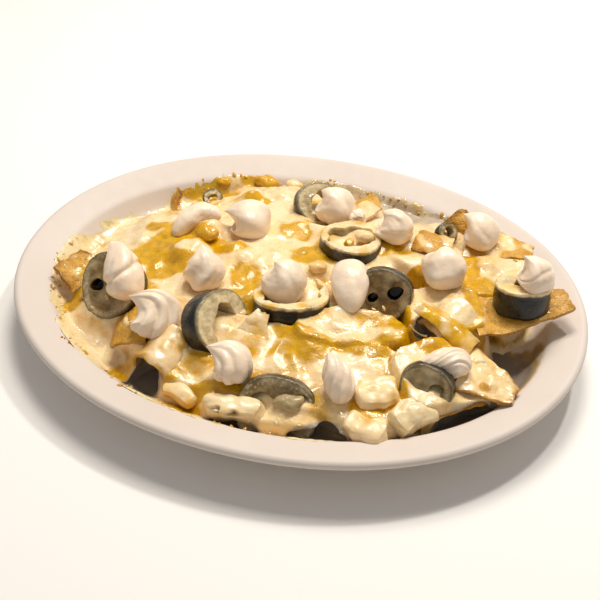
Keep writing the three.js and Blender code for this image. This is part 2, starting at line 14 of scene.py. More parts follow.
import bpy
import numpy as np
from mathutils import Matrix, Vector, noise


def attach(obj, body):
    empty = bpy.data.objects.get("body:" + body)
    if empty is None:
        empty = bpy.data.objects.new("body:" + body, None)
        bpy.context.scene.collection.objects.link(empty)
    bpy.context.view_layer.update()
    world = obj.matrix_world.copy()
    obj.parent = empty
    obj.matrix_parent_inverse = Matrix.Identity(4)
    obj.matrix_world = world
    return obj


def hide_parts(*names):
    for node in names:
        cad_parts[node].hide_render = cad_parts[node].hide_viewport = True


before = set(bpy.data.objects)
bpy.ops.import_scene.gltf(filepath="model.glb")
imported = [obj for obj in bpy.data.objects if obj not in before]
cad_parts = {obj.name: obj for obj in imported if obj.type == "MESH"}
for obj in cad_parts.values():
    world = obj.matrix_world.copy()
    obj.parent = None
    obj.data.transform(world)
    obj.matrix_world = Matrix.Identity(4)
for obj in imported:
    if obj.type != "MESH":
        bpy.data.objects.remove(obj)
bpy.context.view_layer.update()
print("packed nodes:", len(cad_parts))

# %% [markdown]
# ## The camera
#
# A plate on a table is seen by someone standing close to it, a little to its right: the camera
# looks down at 42 degrees. It is placed by its bearing, its height in degrees and its distance from
# the point it aims at, because those three can be judged and corrected one at a time.

# %% The camera
CAMERA_BEARING = 18.1  # degrees to the right of the front
CAMERA_HEIGHT = 42.0  # degrees above the table
CAMERA_DISTANCE = 464.0
CAMERA_AIM = (7.4, -13.2, 25.0)
CAMERA_LENS = 56.7

MM = 0.001


def on_sphere(aim, bearing, height, distance):
    """The point at a distance from aim, at a bearing from the front and a height in degrees."""
    side, up = math.radians(bearing), math.radians(height)
    flat = distance * math.cos(up)
    return Vector(aim) + Vector((flat * math.sin(side), -flat * math.cos(side), distance * math.sin(up)))


def point_at(thing, place, aim):
    thing.location = place * MM
    thing.rotation_euler = (Vector(aim) - place).to_track_quat("-Z", "Y").to_euler()


bpy.ops.object.camera_add()
camera = bpy.context.object
camera.data.lens = CAMERA_LENS
camera.data.clip_start = 0.01
point_at(camera, on_sphere(CAMERA_AIM, CAMERA_BEARING, CAMERA_HEIGHT, CAMERA_DISTANCE), CAMERA_AIM)
bpy.context.scene.camera = camera

# %% [markdown]
# ## Small helpers
#
# Every piece starts as one of Blender's own primitives. Its points are then moved by a rule, its
# modifiers are applied, and values such as how browned each point is are stored on it for its
# material to read. Food is too uneven to shape by hand with a few pulls, so the rule that moves the
# points holds the form's real sizes and adds smooth random bumps. The random draws are seeded, so
# the plate comes out the same each time.

# %% Helpers for pieces


def only(piece):
    bpy.ops.object.select_all(action="DESELECT")
    piece.select_set(True)
    bpy.context.view_layer.objects.active = piece


def start_piece(name, add_primitive, **settings):
    """Add one primitive with nothing else selected, and give it the piece's name."""
    bpy.ops.object.select_all(action="DESELECT")
    add_primitive(**settings)
    piece = bpy.context.object
    piece.name = name
    piece.data.name = name
    return piece


def start_ball(name, segments, rings):
    """A ball of radius 1 mm about the origin."""
    return start_piece(name, bpy.ops.mesh.primitive_uv_sphere_add, segments=segments,
                       ring_count=rings, radius=MM)


def level(x, y, z=0.0):
    """Points at x and y, all at one height."""
    return np.column_stack((x, y, np.full_like(x, z)))


def points_of(piece):
    flat = np.empty(3 * len(piece.data.vertices))
    piece.data.vertices.foreach_get("co", flat)
    return flat.reshape(-1, 3) / MM


def move_points(piece, points):
    piece.data.vertices.foreach_set("co", (np.asarray(points) * MM).ravel())
    piece.data.update()


def in_edit_mode(piece, *steps):
    """Run edit mode steps on a piece with all of it selected."""
    only(piece)
    bpy.ops.object.mode_set(mode="EDIT")
    bpy.ops.mesh.select_all(action="SELECT")
    for step in steps:
        step()
    bpy.ops.object.mode_set(mode="OBJECT")


def finish_with(piece, kind, **settings):
    """Add one modifier and apply it."""
    only(piece)
    modifier = piece.modifiers.new(kind.title(), kind)
    for name, value in settings.items():
        setattr(modifier, name, value)
    bpy.ops.object.modifier_apply(modifier=modifier.name)


def cut(piece, cutter, operation="DIFFERENCE", keep=False):
    """Cut a piece with another, which is thrown away unless it is kept for the next cut."""
    finish_with(piece, "BOOLEAN", object=cutter, operation=operation, solver="MANIFOLD")
    if not keep:
        bpy.data.objects.remove(cutter)


def store(piece, name, values):
    """Keep a value from 0 to 1 for each point, or one value for all, for the material to read."""
    layer = piece.data.attributes.new(name, "FLOAT", "POINT")
    each = np.full(len(piece.data.vertices), values, float)
    layer.data.foreach_set("value", np.clip(each, 0, 1))


def bumps(points, size, seed=0):
    """Smooth random values of about -1 to 1, with a bump about every size millimetres.

    Each seed gives other bumps, so that two layers of relief or colour don't follow each other.
    """
    shift = Vector((17.3, 5.1, 9.7)) * (seed + 1)
    return 1.6 * np.array([noise.noise(Vector(point) / size + shift) for point in points])


def blisters(points, size, seed=0):
    """Round domes from 0 to 1, like bubbles under a skin, one every size millimetres or so."""
    shift = Vector((3.7, 8.3, 2.9)) * (seed + 1)
    nearest = [noise.voronoi(Vector(point) / size + shift)[0][0] for point in points]
    return np.maximum(0, 1 - (np.array(nearest) / 0.55) ** 2)


def ease(values, low, high):
    """0 below low, 1 above high and a smooth rise between them."""
    run = np.clip((np.asarray(values, float) - low) / (high - low), 0, 1)
    return run * run * (3 - 2 * run)


def in_line(x, y, middle_x, middle_y, heading):
    """Places along and across a heading, from a middle."""
    c, s = math.cos(math.radians(heading)), math.sin(math.radians(heading))
    return (x - middle_x) * c + (y - middle_y) * s, (y - middle_y) * c - (x - middle_x) * s


def patches(points, table, seed):
    """How far each point lies in any of the patches, whose edges wander."""
    wander = 0.35 * bumps(points, 12, seed) + 0.15 * bumps(points, 4, seed + 1)
    most = np.zeros(len(points))
    for x, y, length, width, heading, strength in table:
        along, across = in_line(points[:, 0], points[:, 1], x, y, heading)
        reach = np.hypot(along / length, across / width) + wander
        most = np.maximum(most, strength * (1 - ease(reach, 0.6, 1.5)))
    return most


def turned(points, axis, degrees):
    """The points turned about the X, Y or Z axis."""
    c, s = math.cos(math.radians(degrees)), math.sin(math.radians(degrees))
    x, y, z = points.T
    if axis == "Z":
        return np.column_stack((c * x - s * y, s * x + c * y, z))
    if axis == "X":
        return np.column_stack((x, c * y - s * z, s * y + c * z))
    return np.column_stack((c * x + s * z, y, c * z - s * x))


def laid(points, axis, tilt, heading, place):
    """The points tilted about the X or Y axis, turned to a heading and moved to a place."""
    return turned(turned(points, axis, tilt), "Z", heading) + place


def serve(piece, finish, node=None, smooth=40):
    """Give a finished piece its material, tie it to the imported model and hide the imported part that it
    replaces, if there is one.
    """
    piece.data.materials.clear()
    piece.data.materials.append(finish)
    only(piece)
    bpy.ops.object.shade_smooth_by_angle(angle=math.radians(smooth))
    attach(piece, "root")
    if node:
        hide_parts(node)


def numbered(name, index):
    return f"{name}_{index + 1:02d}"


# %% [markdown]
# ## Helpers for finishes
#
# A colour is picked on the screen as a hex code, which is sRGB, and Blender's nodes add light in
# linear values, so one function turns one into the other. A finish is a material in the making. One
# function adds a node to it by a plain word and fills the node's inputs in order. So a recipe below is
# a short list of what is mixed with what, and it ends with what goes into the shader.

# %% Helpers for finishes
# word: Blender's kind of node, its inputs in order, its output and its settings
NODES = {
    "place": ("ShaderNodeTexCoord", (), "Object", {}),
    "stretch": ("ShaderNodeMapping", ("Vector", "Scale"), 0, {}),
    "noise": ("ShaderNodeTexNoise", ("Vector", "Scale", "Detail"), 0, {}),
    "stored": ("ShaderNodeAttribute", (), "Fac", {}),
    "spread": ("ShaderNodeMapRange", ("Value", "From Min", "From Max", "To Min", "To Max"), 0, {}),
    "blend": ("ShaderNodeMix", (0, 6, 7), 2, {"data_type": "RGBA"}),  # the share of the second colour first
    "sum": ("ShaderNodeMath", (0, 1), 0, {"operation": "ADD"}),
    "difference": ("ShaderNodeMath", (0, 1), 0, {"operation": "SUBTRACT"}),
    "product": ("ShaderNodeMath", (0, 1), 0, {"operation": "MULTIPLY"}),
    "relief": ("ShaderNodeBump", ("Height", "Distance", "Strength", "Normal"), 0, {}),
}


def colour(code):
    parts = [int(code[i:i + 2], 16) / 255 for i in (1, 3, 5)]
    linear = [p / 12.92 if p <= 0.04045 else ((p + 0.055) / 1.055) ** 2.4 for p in parts]
    return (*linear, 1.0)


class Finish:
    """A material in the making."""

    def __init__(self, name):
        self.material = bpy.data.materials.new(name)
        self.material.use_nodes = True
        self.tree = self.material.node_tree

    def fill(self, node, inputs):
        """Each input takes a number, a hex colour, a stored value's name or another node's output."""
        for key, value in inputs.items():
            if isinstance(value, str):
                value = colour(value) if value[0] == "#" else self.add("stored", attribute_name=value)
            if isinstance(value, bpy.types.NodeSocket):
                self.tree.links.new(value, node.inputs[key])
            else:
                node.inputs[key].default_value = value

    def add(self, word, *values, **settings):
        """Add a node, fill its inputs in order and give back its output."""
        kind, keys, output, fixed = NODES[word]
        node = self.tree.nodes.new(kind)
        for name, value in {**fixed, **settings}.items():
            setattr(node, name, value)
        self.fill(node, dict(zip(keys, values)))
        return node.outputs[output]

    def grain(self, size, detail=3.0, low=0.3, high=0.7, place=None):
        """Noise with features of a real size in millimetres, spread from 0 to 1."""
        raw = self.add("noise", place or self.add("place"), 1 / (size * MM), detail)
        return self.add("spread", raw, low, high)

    def made(self, inputs):
        """Fill the shader's inputs and give back the material."""
        self.fill(self.tree.nodes["Principled BSDF"], inputs)
        return self.material


# %% [markdown]
# ## Finish: glazed stoneware
#
# Restaurant platters are vitrified stoneware under a clear glaze, fired once and dipped or sprayed.
# The body is a warm off-white. Years of washing dull the glaze to satin, so its roughness is a little
# over a half, and it is a dielectric of index 1.45. Baked fat leaves a brown stain where the well
# stayed bare, and where the stain is strong it is painted dark as shade: under the chip at the right
# and in the hollows under the front of the heap. It is stored on the piece, because it belongs to one
# place and not to the clay.

# %% Glazed stoneware
GLAZE = "#d5c9bf"
GLAZE_PALER = "#dbd0c7"
CLAY_SPECK = "#cdb99c"
FAT_STAIN = "#b3955c"
# the darker colour, laid where the stain is strong, is painted shade over the baked fat
FAT_CRUST = "#85796d"


def glazed_stoneware():
    finish = Finish("glazed_stoneware")
    body = finish.add("blend", finish.grain(45), GLAZE, GLAZE_PALER)
    speck = finish.add("spread", finish.grain(1.2, 1.0, 0.0, 1.0), 0.72, 0.8, 0.0, 0.25)
    body = finish.add("blend", speck, body, CLAY_SPECK)
    # the stored fat stain, which is painted dark as shade where it is strong
    stain = finish.add("sum", finish.add("product", finish.grain(9), 0.2), "stain")
    body = finish.add("blend", finish.add("spread", stain, 0.22, 0.5), body, FAT_STAIN)
    body = finish.add("blend", finish.add("spread", stain, 0.45, 0.85), body, FAT_CRUST)
    return finish.made({
        "Base Color": body,
        "Roughness": finish.add("spread", finish.grain(6), 0, 1, 0.54, 0.64),
        "IOR": 1.45,
        "Normal": finish.add("relief", finish.grain(8), 0.05 * MM, 1.0),
    })


# %% [markdown]
# ## Finish: melted cheese
#
# Two cheeses were grated together: a pale one that melts to cream and a dyed one that melts to
# gold. They run into each other in streaks, oil comes to the surface and shines in many small
# lights, and thin cheese by the dish browns. Light goes a millimetre or two into it, so it takes
# subsurface scattering. Where gold lies and how browned each point is are stored on the piece, and
# noise breaks up the edges of those patches into streaks. The same colours are used where cheese
# coats a chip or a slice, so they come from one function.

# %% Melted cheese
PALE_CHEESE = "#f9e0b8"
PALE_CHEESE_DEEP = "#f3d498"
GOLD_CHEESE = "#e0ae04"
GOLD_CHEESE_DEEP = "#c49200"
BROWNED = "#d9ab55"
BROWNED_DEEP = "#a8761c"
# painted shade for the creases, a dark oily gold
POOLED_OIL = "#8a6806"
# the grey baked along the back, also painted on the walls of the hollows as shade
BAKED_GREY = "#9a8f86"


def cheese_colours(finish):
    """The colour of melted cheese from how golden and how browned each point is."""
    wander = finish.add("spread", finish.grain(7, 2.0, 0.0, 1.0), 0.3, 0.7, -0.22, 0.22)
    cloud = finish.grain(5, 2.0)
    pale = finish.add("blend", finish.grain(15, 2.0), PALE_CHEESE, PALE_CHEESE_DEEP)
    rich = finish.add("blend", cloud, GOLD_CHEESE, GOLD_CHEESE_DEEP)
    golden = finish.add("spread", finish.add("sum", "gold", wander), 0.12, 0.62)
    crust = finish.add("blend", cloud, BROWNED, BROWNED_DEEP)
    browned = finish.add("spread", finish.add("sum", "browned", wander), 0.2, 0.75)
    return finish.add("blend", browned, finish.add("blend", golden, pale, rich), crust)


def melted_cheese():
    finish = Finish("melted_cheese")
    # shade is painted into the creases
    oiled = finish.add("blend", finish.add("product", "crease", 0.8), cheese_colours(finish), POOLED_OIL)
    simmered = finish.add("product", finish.grain(1.2), finish.grain(14, 1.0, 0.4, 0.6))
    wrinkle = finish.add("relief", simmered, 0.28 * MM, 0.6)
    return finish.made({
        # the stored hollow mark paints shade on the walls of the hollows and the baked grey along the back
        "Base Color": finish.add("blend", finish.add("product", "hollow", 0.95), oiled, BAKED_GREY),
        "Roughness": finish.add("spread", finish.grain(4), 0, 1, 0.22, 0.42),
        "IOR": 1.45,
        "Subsurface Weight": 0.4,
        "Subsurface Radius": (1.0, 0.55, 0.2),
        "Subsurface Scale": 2.5 * MM,
        "Coat Weight": 0.5,
        "Coat Roughness": 0.07,
        "Normal": finish.add("relief", finish.grain(5, 2.0), 0.4 * MM, 0.5, wrinkle),
    })


# %% [markdown]
# ## Finish: baked tortilla
#
# A corn chip is a rolled sheet of ground maize, fried and then baked again under the cheese. It is
# dry and slightly pitted, golden with darker specks of bran, browner at its edges and where it
# blistered. Its roughness is high, and the pits are relief a few tenths of a millimetre deep.

# %% Baked tortilla
MAIZE = "#e2b04c"
MAIZE_DEEP = "#cb9224"
BRAN = "#9a6a24"
TOAST = "#8f5d14"


def baked_tortilla():
    finish = Finish("baked_tortilla")
    meal = finish.grain(5, 4.0)
    body = finish.add("blend", meal, MAIZE, MAIZE_DEEP)
    bran = finish.add("spread", finish.grain(1.3, 4.0, 0.0, 1.0), 0.52, 0.64, 0.0, 0.4)
    body = finish.add("blend", bran, body, BRAN)
    toast = finish.add("product", "toasted", finish.add("spread", meal, 0, 1, 0.6, 1.0))
    body = finish.add("blend", toast, body, TOAST)
    bare = finish.add("difference", 1.0, "coat")
    pits = finish.add("relief", finish.add("product", finish.grain(1.0, 2.0), bare), 0.3 * MM, 0.7)
    return finish.made({
        "Base Color": finish.add("blend", "coat", body, cheese_colours(finish)),
        "Roughness": finish.add("spread", "coat", 0, 1, 0.55, 0.3),
        "IOR": 1.45,
        "Subsurface Weight": 0.1,
        "Subsurface Radius": (1.0, 0.5, 0.2),
        "Subsurface Scale": 1.0 * MM,
        "Coat Weight": finish.add("spread", "coat", 0, 1, 0.1, 0.5),
        "Coat Roughness": 0.12,
        "Normal": finish.add("relief", finish.grain(4), 0.35 * MM, 0.5, pits),
    })


# %% [markdown]
# ## Finish: pickled pepper
#
# Jars of sliced pickled jalapeno: the acid and the oven turn the skin nearly black and glossy, and
# the flesh olive brown, wet and slightly see-through, with paler membranes round the seed chambers.
# Where each of these lies is stored on the slice: skin, membrane and the cheese that runs over it, and also
# the shade painted dark deep in the blind seed chambers.

# %% Pickled pepper
FLESH = "#574222"
FLESH_PALER = "#94763c"
FLESH_SPECK = "#cfc3a0"
MEMBRANE = "#cbb888"
MEMBRANE_PALER = "#f0dfb6"
# painted shade deep in the blind seed chambers
CHAMBER = "#1c160d"
SKIN = "#0e0d0c"
SKIN_PALER = "#201e1a"


def pickled_pepper():
    finish = Finish("pickled_pepper")
    fibre = finish.grain(2.6, 4.0)
    dark = finish.add("blend", finish.grain(5), FLESH, FLESH_PALER)
    pale = finish.add("blend", fibre, MEMBRANE, MEMBRANE_PALER)
    flesh = finish.add("blend", "pale", dark, pale)
    speck = finish.add("spread", finish.grain(1.8, 4.0, 0.0, 1.0), 0.5, 0.6)
    flesh = finish.add("blend", finish.add("product", speck, "speckle"), flesh, FLESH_SPECK)
    # painted shade in the chambers
    flesh = finish.add("blend", "deep", flesh, CHAMBER)
    skin = finish.add("blend", finish.grain(5), SKIN, SKIN_PALER)
    body = finish.add("blend", "skin", flesh, skin)
    ragged = finish.add("spread", finish.grain(3, 2.0, 0.0, 1.0), 0.3, 0.7, -0.15, 0.15)
    coat = finish.add("spread", finish.add("sum", "coat", ragged), 0.3, 0.7)
    return finish.made({
        "Base Color": finish.add("blend", coat, body, cheese_colours(finish)),
        "Roughness": finish.add("spread", fibre, 0, 1, 0.2, 0.4),
        "IOR": 1.4,
        "Subsurface Weight": 0.12,
        "Subsurface Radius": (1.0, 0.8, 0.4),
        "Subsurface Scale": 1.0 * MM,
        "Coat Weight": 0.35,
        "Coat Roughness": 0.1,
        "Normal": finish.add("relief", finish.grain(1.4), 0.2 * MM, 0.7),
    })


# %% [markdown]
# ## Finish: cooked chicken
#
# Diced breast meat: white muscle in bundles a millimetre or two wide, moist, and coated with
# cheese where it lay under the grill. The fibres are noise stretched along the piece.

# %% Cooked chicken
BREAST = "#f4e2bb"
BREAST_DEEP = "#e8cd98"
# painted shade for the tear and the dents of the lower sides
BREAST_SHADE = "#7a6012"


def cooked_chicken():
    finish = Finish("cooked_chicken")
    fibre = finish.grain(1.6, place=finish.add("stretch", finish.add("place"), (0.35, 1, 1)))
    meat = finish.add("blend", fibre, BREAST, BREAST_DEEP)
    body = finish.add("blend", "coat", meat, cheese_colours(finish))
    return finish.made({
        # painted shade where the hollow mark is stored
        "Base Color": finish.add("blend", finish.add("product", "hollow", 0.9), body, BREAST_SHADE),
        "Roughness": finish.add("spread", fibre, 0, 1, 0.3, 0.5),
        "IOR": 1.42,
        "Subsurface Weight": 0.25,
        "Subsurface Radius": (1.0, 0.6, 0.35),
        "Subsurface Scale": 1.5 * MM,
        "Coat Weight": 0.3,
        "Coat Roughness": 0.15,
        "Normal": finish.add("relief", fibre, 0.12 * MM, 0.5),
    })


# %% [markdown]
# ## Finish: sour cream
#
# Thick cultured cream keeps the nozzle's ridges. It is nearly white and a little warm, lets some light
# in under its skin and has a soft sheen, with tiny air bubbles that pit the surface.

# %% Sour cream
CREAM_PALE = "#fbe8d1"
CREAM_DEEP = "#f4dcc1"


def sour_cream():
    finish = Finish("sour_cream")
    return finish.made({
        "Base Color": finish.add("blend", finish.grain(9), CREAM_PALE, CREAM_DEEP),
        "Roughness": finish.add("spread", finish.grain(3), 0, 1, 0.3, 0.42),
        "IOR": 1.45,
        "Subsurface Weight": 0.1,
        "Subsurface Radius": (1.0, 0.8, 0.6),
        "Subsurface Scale": 1.0 * MM,
        "Coat Weight": 0.15,
        "Coat Roughness": 0.2,
        "Normal": finish.add("relief", finish.grain(1.5, 2.0), 0.12 * MM, 0.5),
    })


STONEWARE = glazed_stoneware()
CHEESE = melted_cheese()
TORTILLA = baked_tortilla()
PEPPER = pickled_pepper()
CHICKEN_MEAT = cooked_chicken()
CREAM = sour_cream()
print("finishes:", ", ".join(material.name for material in bpy.data.materials))

# %% [markdown]
# ## The platter
#
# An oval platter is pressed in a mould by a roller that follows one profile: a rolled lip, a
# sloping rim, a steep wall and a flat well, with a foot ring under it. So its profile is drawn once
# as a closed string of points, its corners are softened, and it is spun round the Z axis. The round
# dish is then pushed to an oval: every point keeps its distance in from the edge.

# %% The platter's sizes
LENGTH, WIDTH = 290, 225
SQUARENESS = 2.06  # exponent of the oval, 2 is an ellipse
RIM_TOP, RIM_INNER, RIM_WIDTH = 25, 19.9, 16.2
LIP_RADIUS, THICKNESS = 2.6, 4.2
WALL_RUN, FLOOR_TOP = 11, 7
FOOT_INSET, FOOT_WIDTH, FOOT_RISE = 30.5, 3.6, 2
HALF_LENGTH, HALF_WIDTH = LENGTH / 2, WIDTH / 2
PLATTER_STEPS = 192
LONGEST_STEP = 3.5  # along the profile
CORNER_REACH = 1.4  # how far from a corner of the profile its curve starts
HALVINGS = 26  # how often the search for an inset halves its range
SMALLEST_AXIS = 1e-3

UPPER_PROFILE = [  # distance in from the edge, height
    (LIP_RADIUS, RIM_TOP),
    (RIM_WIDTH, RIM_INNER),
    (RIM_WIDTH + 2, RIM_INNER - 1.3),
    (RIM_WIDTH + 7.2, FLOOR_TOP + 3.5),
    (RIM_WIDTH + WALL_RUN + 1, FLOOR_TOP),
    (HALF_WIDTH, FLOOR_TOP),
]
UNDER_PROFILE = [
    (HALF_WIDTH, FOOT_RISE),
    (FOOT_INSET + FOOT_WIDTH + 1, FOOT_RISE),
    (FOOT_INSET + FOOT_WIDTH, 0),
    (FOOT_INSET, 0),
    (FOOT_INSET - 1.2, FOOT_RISE),
    (RIM_WIDTH + 4.5, RIM_INNER - THICKNESS - 6.5),
    (RIM_WIDTH + 0.4, RIM_INNER - THICKNESS),
    (LIP_RADIUS + 1, RIM_TOP - THICKNESS - 1.2),
    (0.5, RIM_TOP - 1.5 * LIP_RADIUS),
    (0, RIM_TOP - LIP_RADIUS),
    (0.7, RIM_TOP - 0.8),
]


def half_axes(inset):
    """Half length and half width of the oval at an inset from the edge. Its core tapers to a point."""
    across = HALF_WIDTH - inset
    core = HALF_WIDTH - FOOT_INSET - 2 * FOOT_WIDTH
    return across + (HALF_LENGTH - HALF_WIDTH) * np.minimum(1, across / core), across


def to_oval(points):
    """Push round rings of points to ovals that keep their distance in from the edge."""
    radius = np.hypot(points[:, 0], points[:, 1])
    angle = np.arctan2(points[:, 1], points[:, 0])
    along, across = half_axes(HALF_WIDTH - radius)
    c, s = np.cos(angle), np.sin(angle)
    power = 2 / SQUARENESS
    x = np.sign(c) * np.abs(c) ** power * along
    y = np.sign(s) * np.abs(s) ** power * across
    return np.column_stack((x, y, points[:, 2]))


def inset_at(x, y):
    """Distance in from the platter's edge at points of the plan."""
    low, high = np.zeros_like(x), np.full_like(x, HALF_WIDTH)
    for _ in range(HALVINGS):
        middle = (low + high) / 2
        along, across = np.maximum(half_axes(middle), SMALLEST_AXIS)
        inside = np.abs(x / along) ** SQUARENESS + np.abs(y / across) ** SQUARENESS < 1
        low, high = np.where(inside, middle, low), np.where(inside, high, middle)
    return low


def softened(profile, reach, steps=4):
    """The profile with each corner turned in a curve that starts reach before it, or near halfway."""
    points = [Vector(point) for point in profile]
    soft = [points[0]]
    for before, corner, after in zip(points, points[1:], points[2:]):
        into, away = before - corner, after - corner
        start = corner + into * min(0.45, reach / into.length)
        end = corner + away * min(0.45, reach / away.length)
        for step in range(steps + 1):
            run = step / steps
            soft.append(start.lerp(corner, run).lerp(corner.lerp(end, run), run))
    return soft + [points[-1]]


def with_steps(profile, longest):
    """The profile with points added where two lie more than the longest step apart."""
    fine = [profile[0]]
    for start, end in zip(profile, profile[1:]):
        count = max(1, math.ceil((end - start).length / longest))
        fine += [start.lerp(end, step / count) for step in range(1, count + 1)]
    return fine


SOFT_PROFILE = softened(UNDER_PROFILE + UPPER_PROFILE, CORNER_REACH)
LIP_TOP = max(range(len(SOFT_PROFILE)), key=lambda step: SOFT_PROFILE[step].y)
GLAZE_REACH, GLAZE_LEVEL = zip(*SOFT_PROFILE[LIP_TOP:])


def platter_height(inset):
    """How high the glaze lies at a distance in from the edge."""
    return np.interp(inset, GLAZE_REACH, GLAZE_LEVEL)


def spun(name, profile):
    """A solid turned from a profile that starts and ends on the Z axis, pushed to an oval.

    A circle gives the string of edges. The one edge along the axis is taken out before the spin.
    """
    piece = start_piece(name, bpy.ops.mesh.primitive_circle_add, vertices=len(profile), fill_type="NOTHING")
    move_points(piece, [(HALF_WIDTH - inset, 0, height) for inset, height in profile])
    bpy.ops.object.mode_set(mode="EDIT")
    bpy.ops.mesh.select_all(action="DESELECT")
    bpy.ops.object.mode_set(mode="OBJECT")
    along_axis = [edge for edge in piece.data.edges if set(edge.vertices) == {0, len(profile) - 1}]
    along_axis[0].select = True
    bpy.ops.object.mode_set(mode="EDIT")
    bpy.ops.mesh.select_mode(type="EDGE")
    bpy.ops.mesh.delete(type="EDGE")
    bpy.ops.mesh.select_mode(type="VERT")
    bpy.ops.object.mode_set(mode="OBJECT")
    in_edit_mode(
        piece,
        lambda: bpy.ops.mesh.spin(steps=PLATTER_STEPS, angle=2 * math.pi, axis=(0, 0, 1), center=(0, 0, 0)),
        lambda: bpy.ops.mesh.select_all(action="SELECT"),
        lambda: bpy.ops.mesh.remove_doubles(threshold=1e-6),
        lambda: bpy.ops.mesh.normals_make_consistent(inside=False),
    )
    move_points(piece, to_oval(points_of(piece)))
    return piece


# %% The platter
# x, y, half length, half width, heading, strength of the baked fat on the bare well, which is painted dark as
# shade under the right-hand chip and in the front hollows
STAINS = [
    (108, -27, 38, 30, -60, 1.0), (98, -58, 28, 16, 36, 1.0), (40, -88, 20, 12, 2, 0.8),
    (0, -90, 18, 8, 3, 0.8), (72, -78, 14, 10, 20, 0.8), (-49, -72, 14, 18, -22, 0.8),
]

platter = spun("glazed_platter", with_steps(SOFT_PROFILE, LONGEST_STEP))
spots = points_of(platter)
inside_well = ease(inset_at(spots[:, 0], spots[:, 1]), RIM_WIDTH, RIM_WIDTH + 7)
# brown baked fat on the bare well, painted dark as shade under the right-hand chip and in the front hollows
store(platter, "stain", patches(spots, STAINS, 60) * inside_well * (spots[:, 2] > FLOOR_TOP - 1))
serve(platter, STONEWARE, "platter", 30)
print("platter faces:", len(platter.data.polygons))

# %% [markdown]
# ## The melted cheese
#
# The heap is chips under a sheet of cheese. Each covered chip is a soft-edged pad with its own top,
# tilt and drop, and the cheese runs softly from one pad to the next, which a soft maximum of their
# heights gives. Lumps of filling push it up, a thin film is baked onto the wall of the well, and the
# cheese itself adds relief: sags, wrinkles and blisters. A fine grid takes those heights, is
# extruded down to a block, cut to the air over the platter, and hollowed where the front overhangs.

# %% The heap's sizes
CEILING = 90
SHEET_INSET = RIM_WIDTH - 3  # the grid reaches a little past the heap
HEAP_INSET = RIM_WIDTH + 0.5  # the heap stays this far in from the platter's edge
EXTRUDED, HEAP_BOTTOM = 200, -2  # the sheet goes well down, and its underside is then made flat
SMALLEST_BODY = 60  # faces of the smallest loose part that is kept
SOFTNESS, FILM_SOFTNESS = 1.5, 0.6
FILM_DEPTH, FILM_SLOPE, FILM_MARGIN = 1.5, 0.28, 17.4
RIPPLE = 0.8
GRID_STEP = 0.9
SINK = 0.15  # how far cheese reaches into the glaze, so that no light shows under it

# x, y, top, heading, half length, half width, rise along, rise across, drop
FOLDS = [
    (-84, -22, 19, 10, 21, 19, 0.05, 0.02, 22), (-50, -52, 24, -38, 20, 13, 0, 0.1, 40),
    (-14, -57, 25, 0, 36, 20, 0.02, 0.24, 30), (-52, -2, 27, 0, 36, 30, 0.06, 0.02, 20),
    (-52, 36, 23, 22, 42, 20, 0.06, -0.14, 18), (6, 56, 25, -4, 50, 24, 0.02, -0.14, 18),
    (6, 11, 30, 0, 40, 29, 0.02, 0.03, 24), (38, -30, 32, 14, 25, 10, -0.06, 0.14, 44),
    (40, -57, 26, 0, 32, 20, 0, 0.22, 46), (20, -76, 19, 4, 34, 9, 0, 0.15, 30),
    (77, -5, 34, 25, 18, 15, -0.05, 0, 70), (85, -42, 29, 35, 21, 17, -0.12, 0.22, 90),
    (76, 40, 30, -10, 33, 27, -0.02, -0.1, 66), (97, 20, 27, -15, 15, 14, -0.05, 0.05, 60),
]
# x, y, height, radius
LUMPS = [
    (-58, 2, 6, 9.5), (-57, 24, 4, 8), (11, 4, 3.5, 5.5), (26, 38, 3, 6), (66, 58, 3, 9),
    (-24, -47, 3, 7), (-73, 50, 4, 6), (-46, 62, 4, 7), (-28, 70, 3, 8), (58, -28, 2, 8),
    (-33, 5, 3, 9), (54, 23, 3, 8), (91, 38, 2.5, 7),
]
# x, y, z, half length, half width, half height, heading
HOLLOWS = [
    (40, -85, 9, 15, 12, 10, 2), (0, -89, 9, 13, 7, 7, 3), (76, -78, 8, 9, 9, 9, 20),
    (102, -58, 10, 18, 13, 14, 36), (73, -18.5, 31, 8, 7, 8, 60), (-46, -72, 12, 9.5, 17, 13, -22),
]
# x, y, z of the face, radius, thickness, heading, tilt, chambers, opening,
# pale flesh, speckled rim, cheese coat
SLICES = [
    (-85, -35, 28, 16.5, 9, -100, 48, 2, 0.3, 0.15, 0.6, 0),
    (-19, -46, 31, 16.5, 12, -12, 57, 1, 0.5, 0.9, 0.1, 0.15),
    (5, -18, 33.5, 18, 10, 108, 14, 1, 0.68, 0.9, 0.2, 1.0),
    (48, -10, 36, 13.2, 9, -84, 62, 2, 0.27, 0.1, 0.4, 0),
    (21.5, 30, 36, 15.5, 10, 80, 7, 1, 0.68, 0.8, 0.6, 0.6),
    (-4, 58, 31, 13, 8, -40, 40, 1, 0.5, 0.55, 0.9, 0.1),
    (110, 13, 42.3, 12.8, 14, 108, 13, 1, 0.3, 0.8, 0.3, 0.75),
    (79, -57, 28.5, 12, 9, -94, 60, 2, 0.24, 0.2, 0.4, 0),
    (18, -81, 16.3, 18.5, 9, -80, 54, 3, 0.4, 0.15, 1.0, 0.1),
    (68, 49, 36, 5.5, 6, -30, 40, 1, 0.5, 0, 0.5, 0),
    (-70, 63, 17.5, 5.5, 5, -60, 30, 1, 0.45, 0, 0.6, 0),
]


def soft_max(heights, softness):
    top = np.max(heights, axis=0)
    return top + softness * np.log(np.sum(np.exp((heights - top) / softness), axis=0))


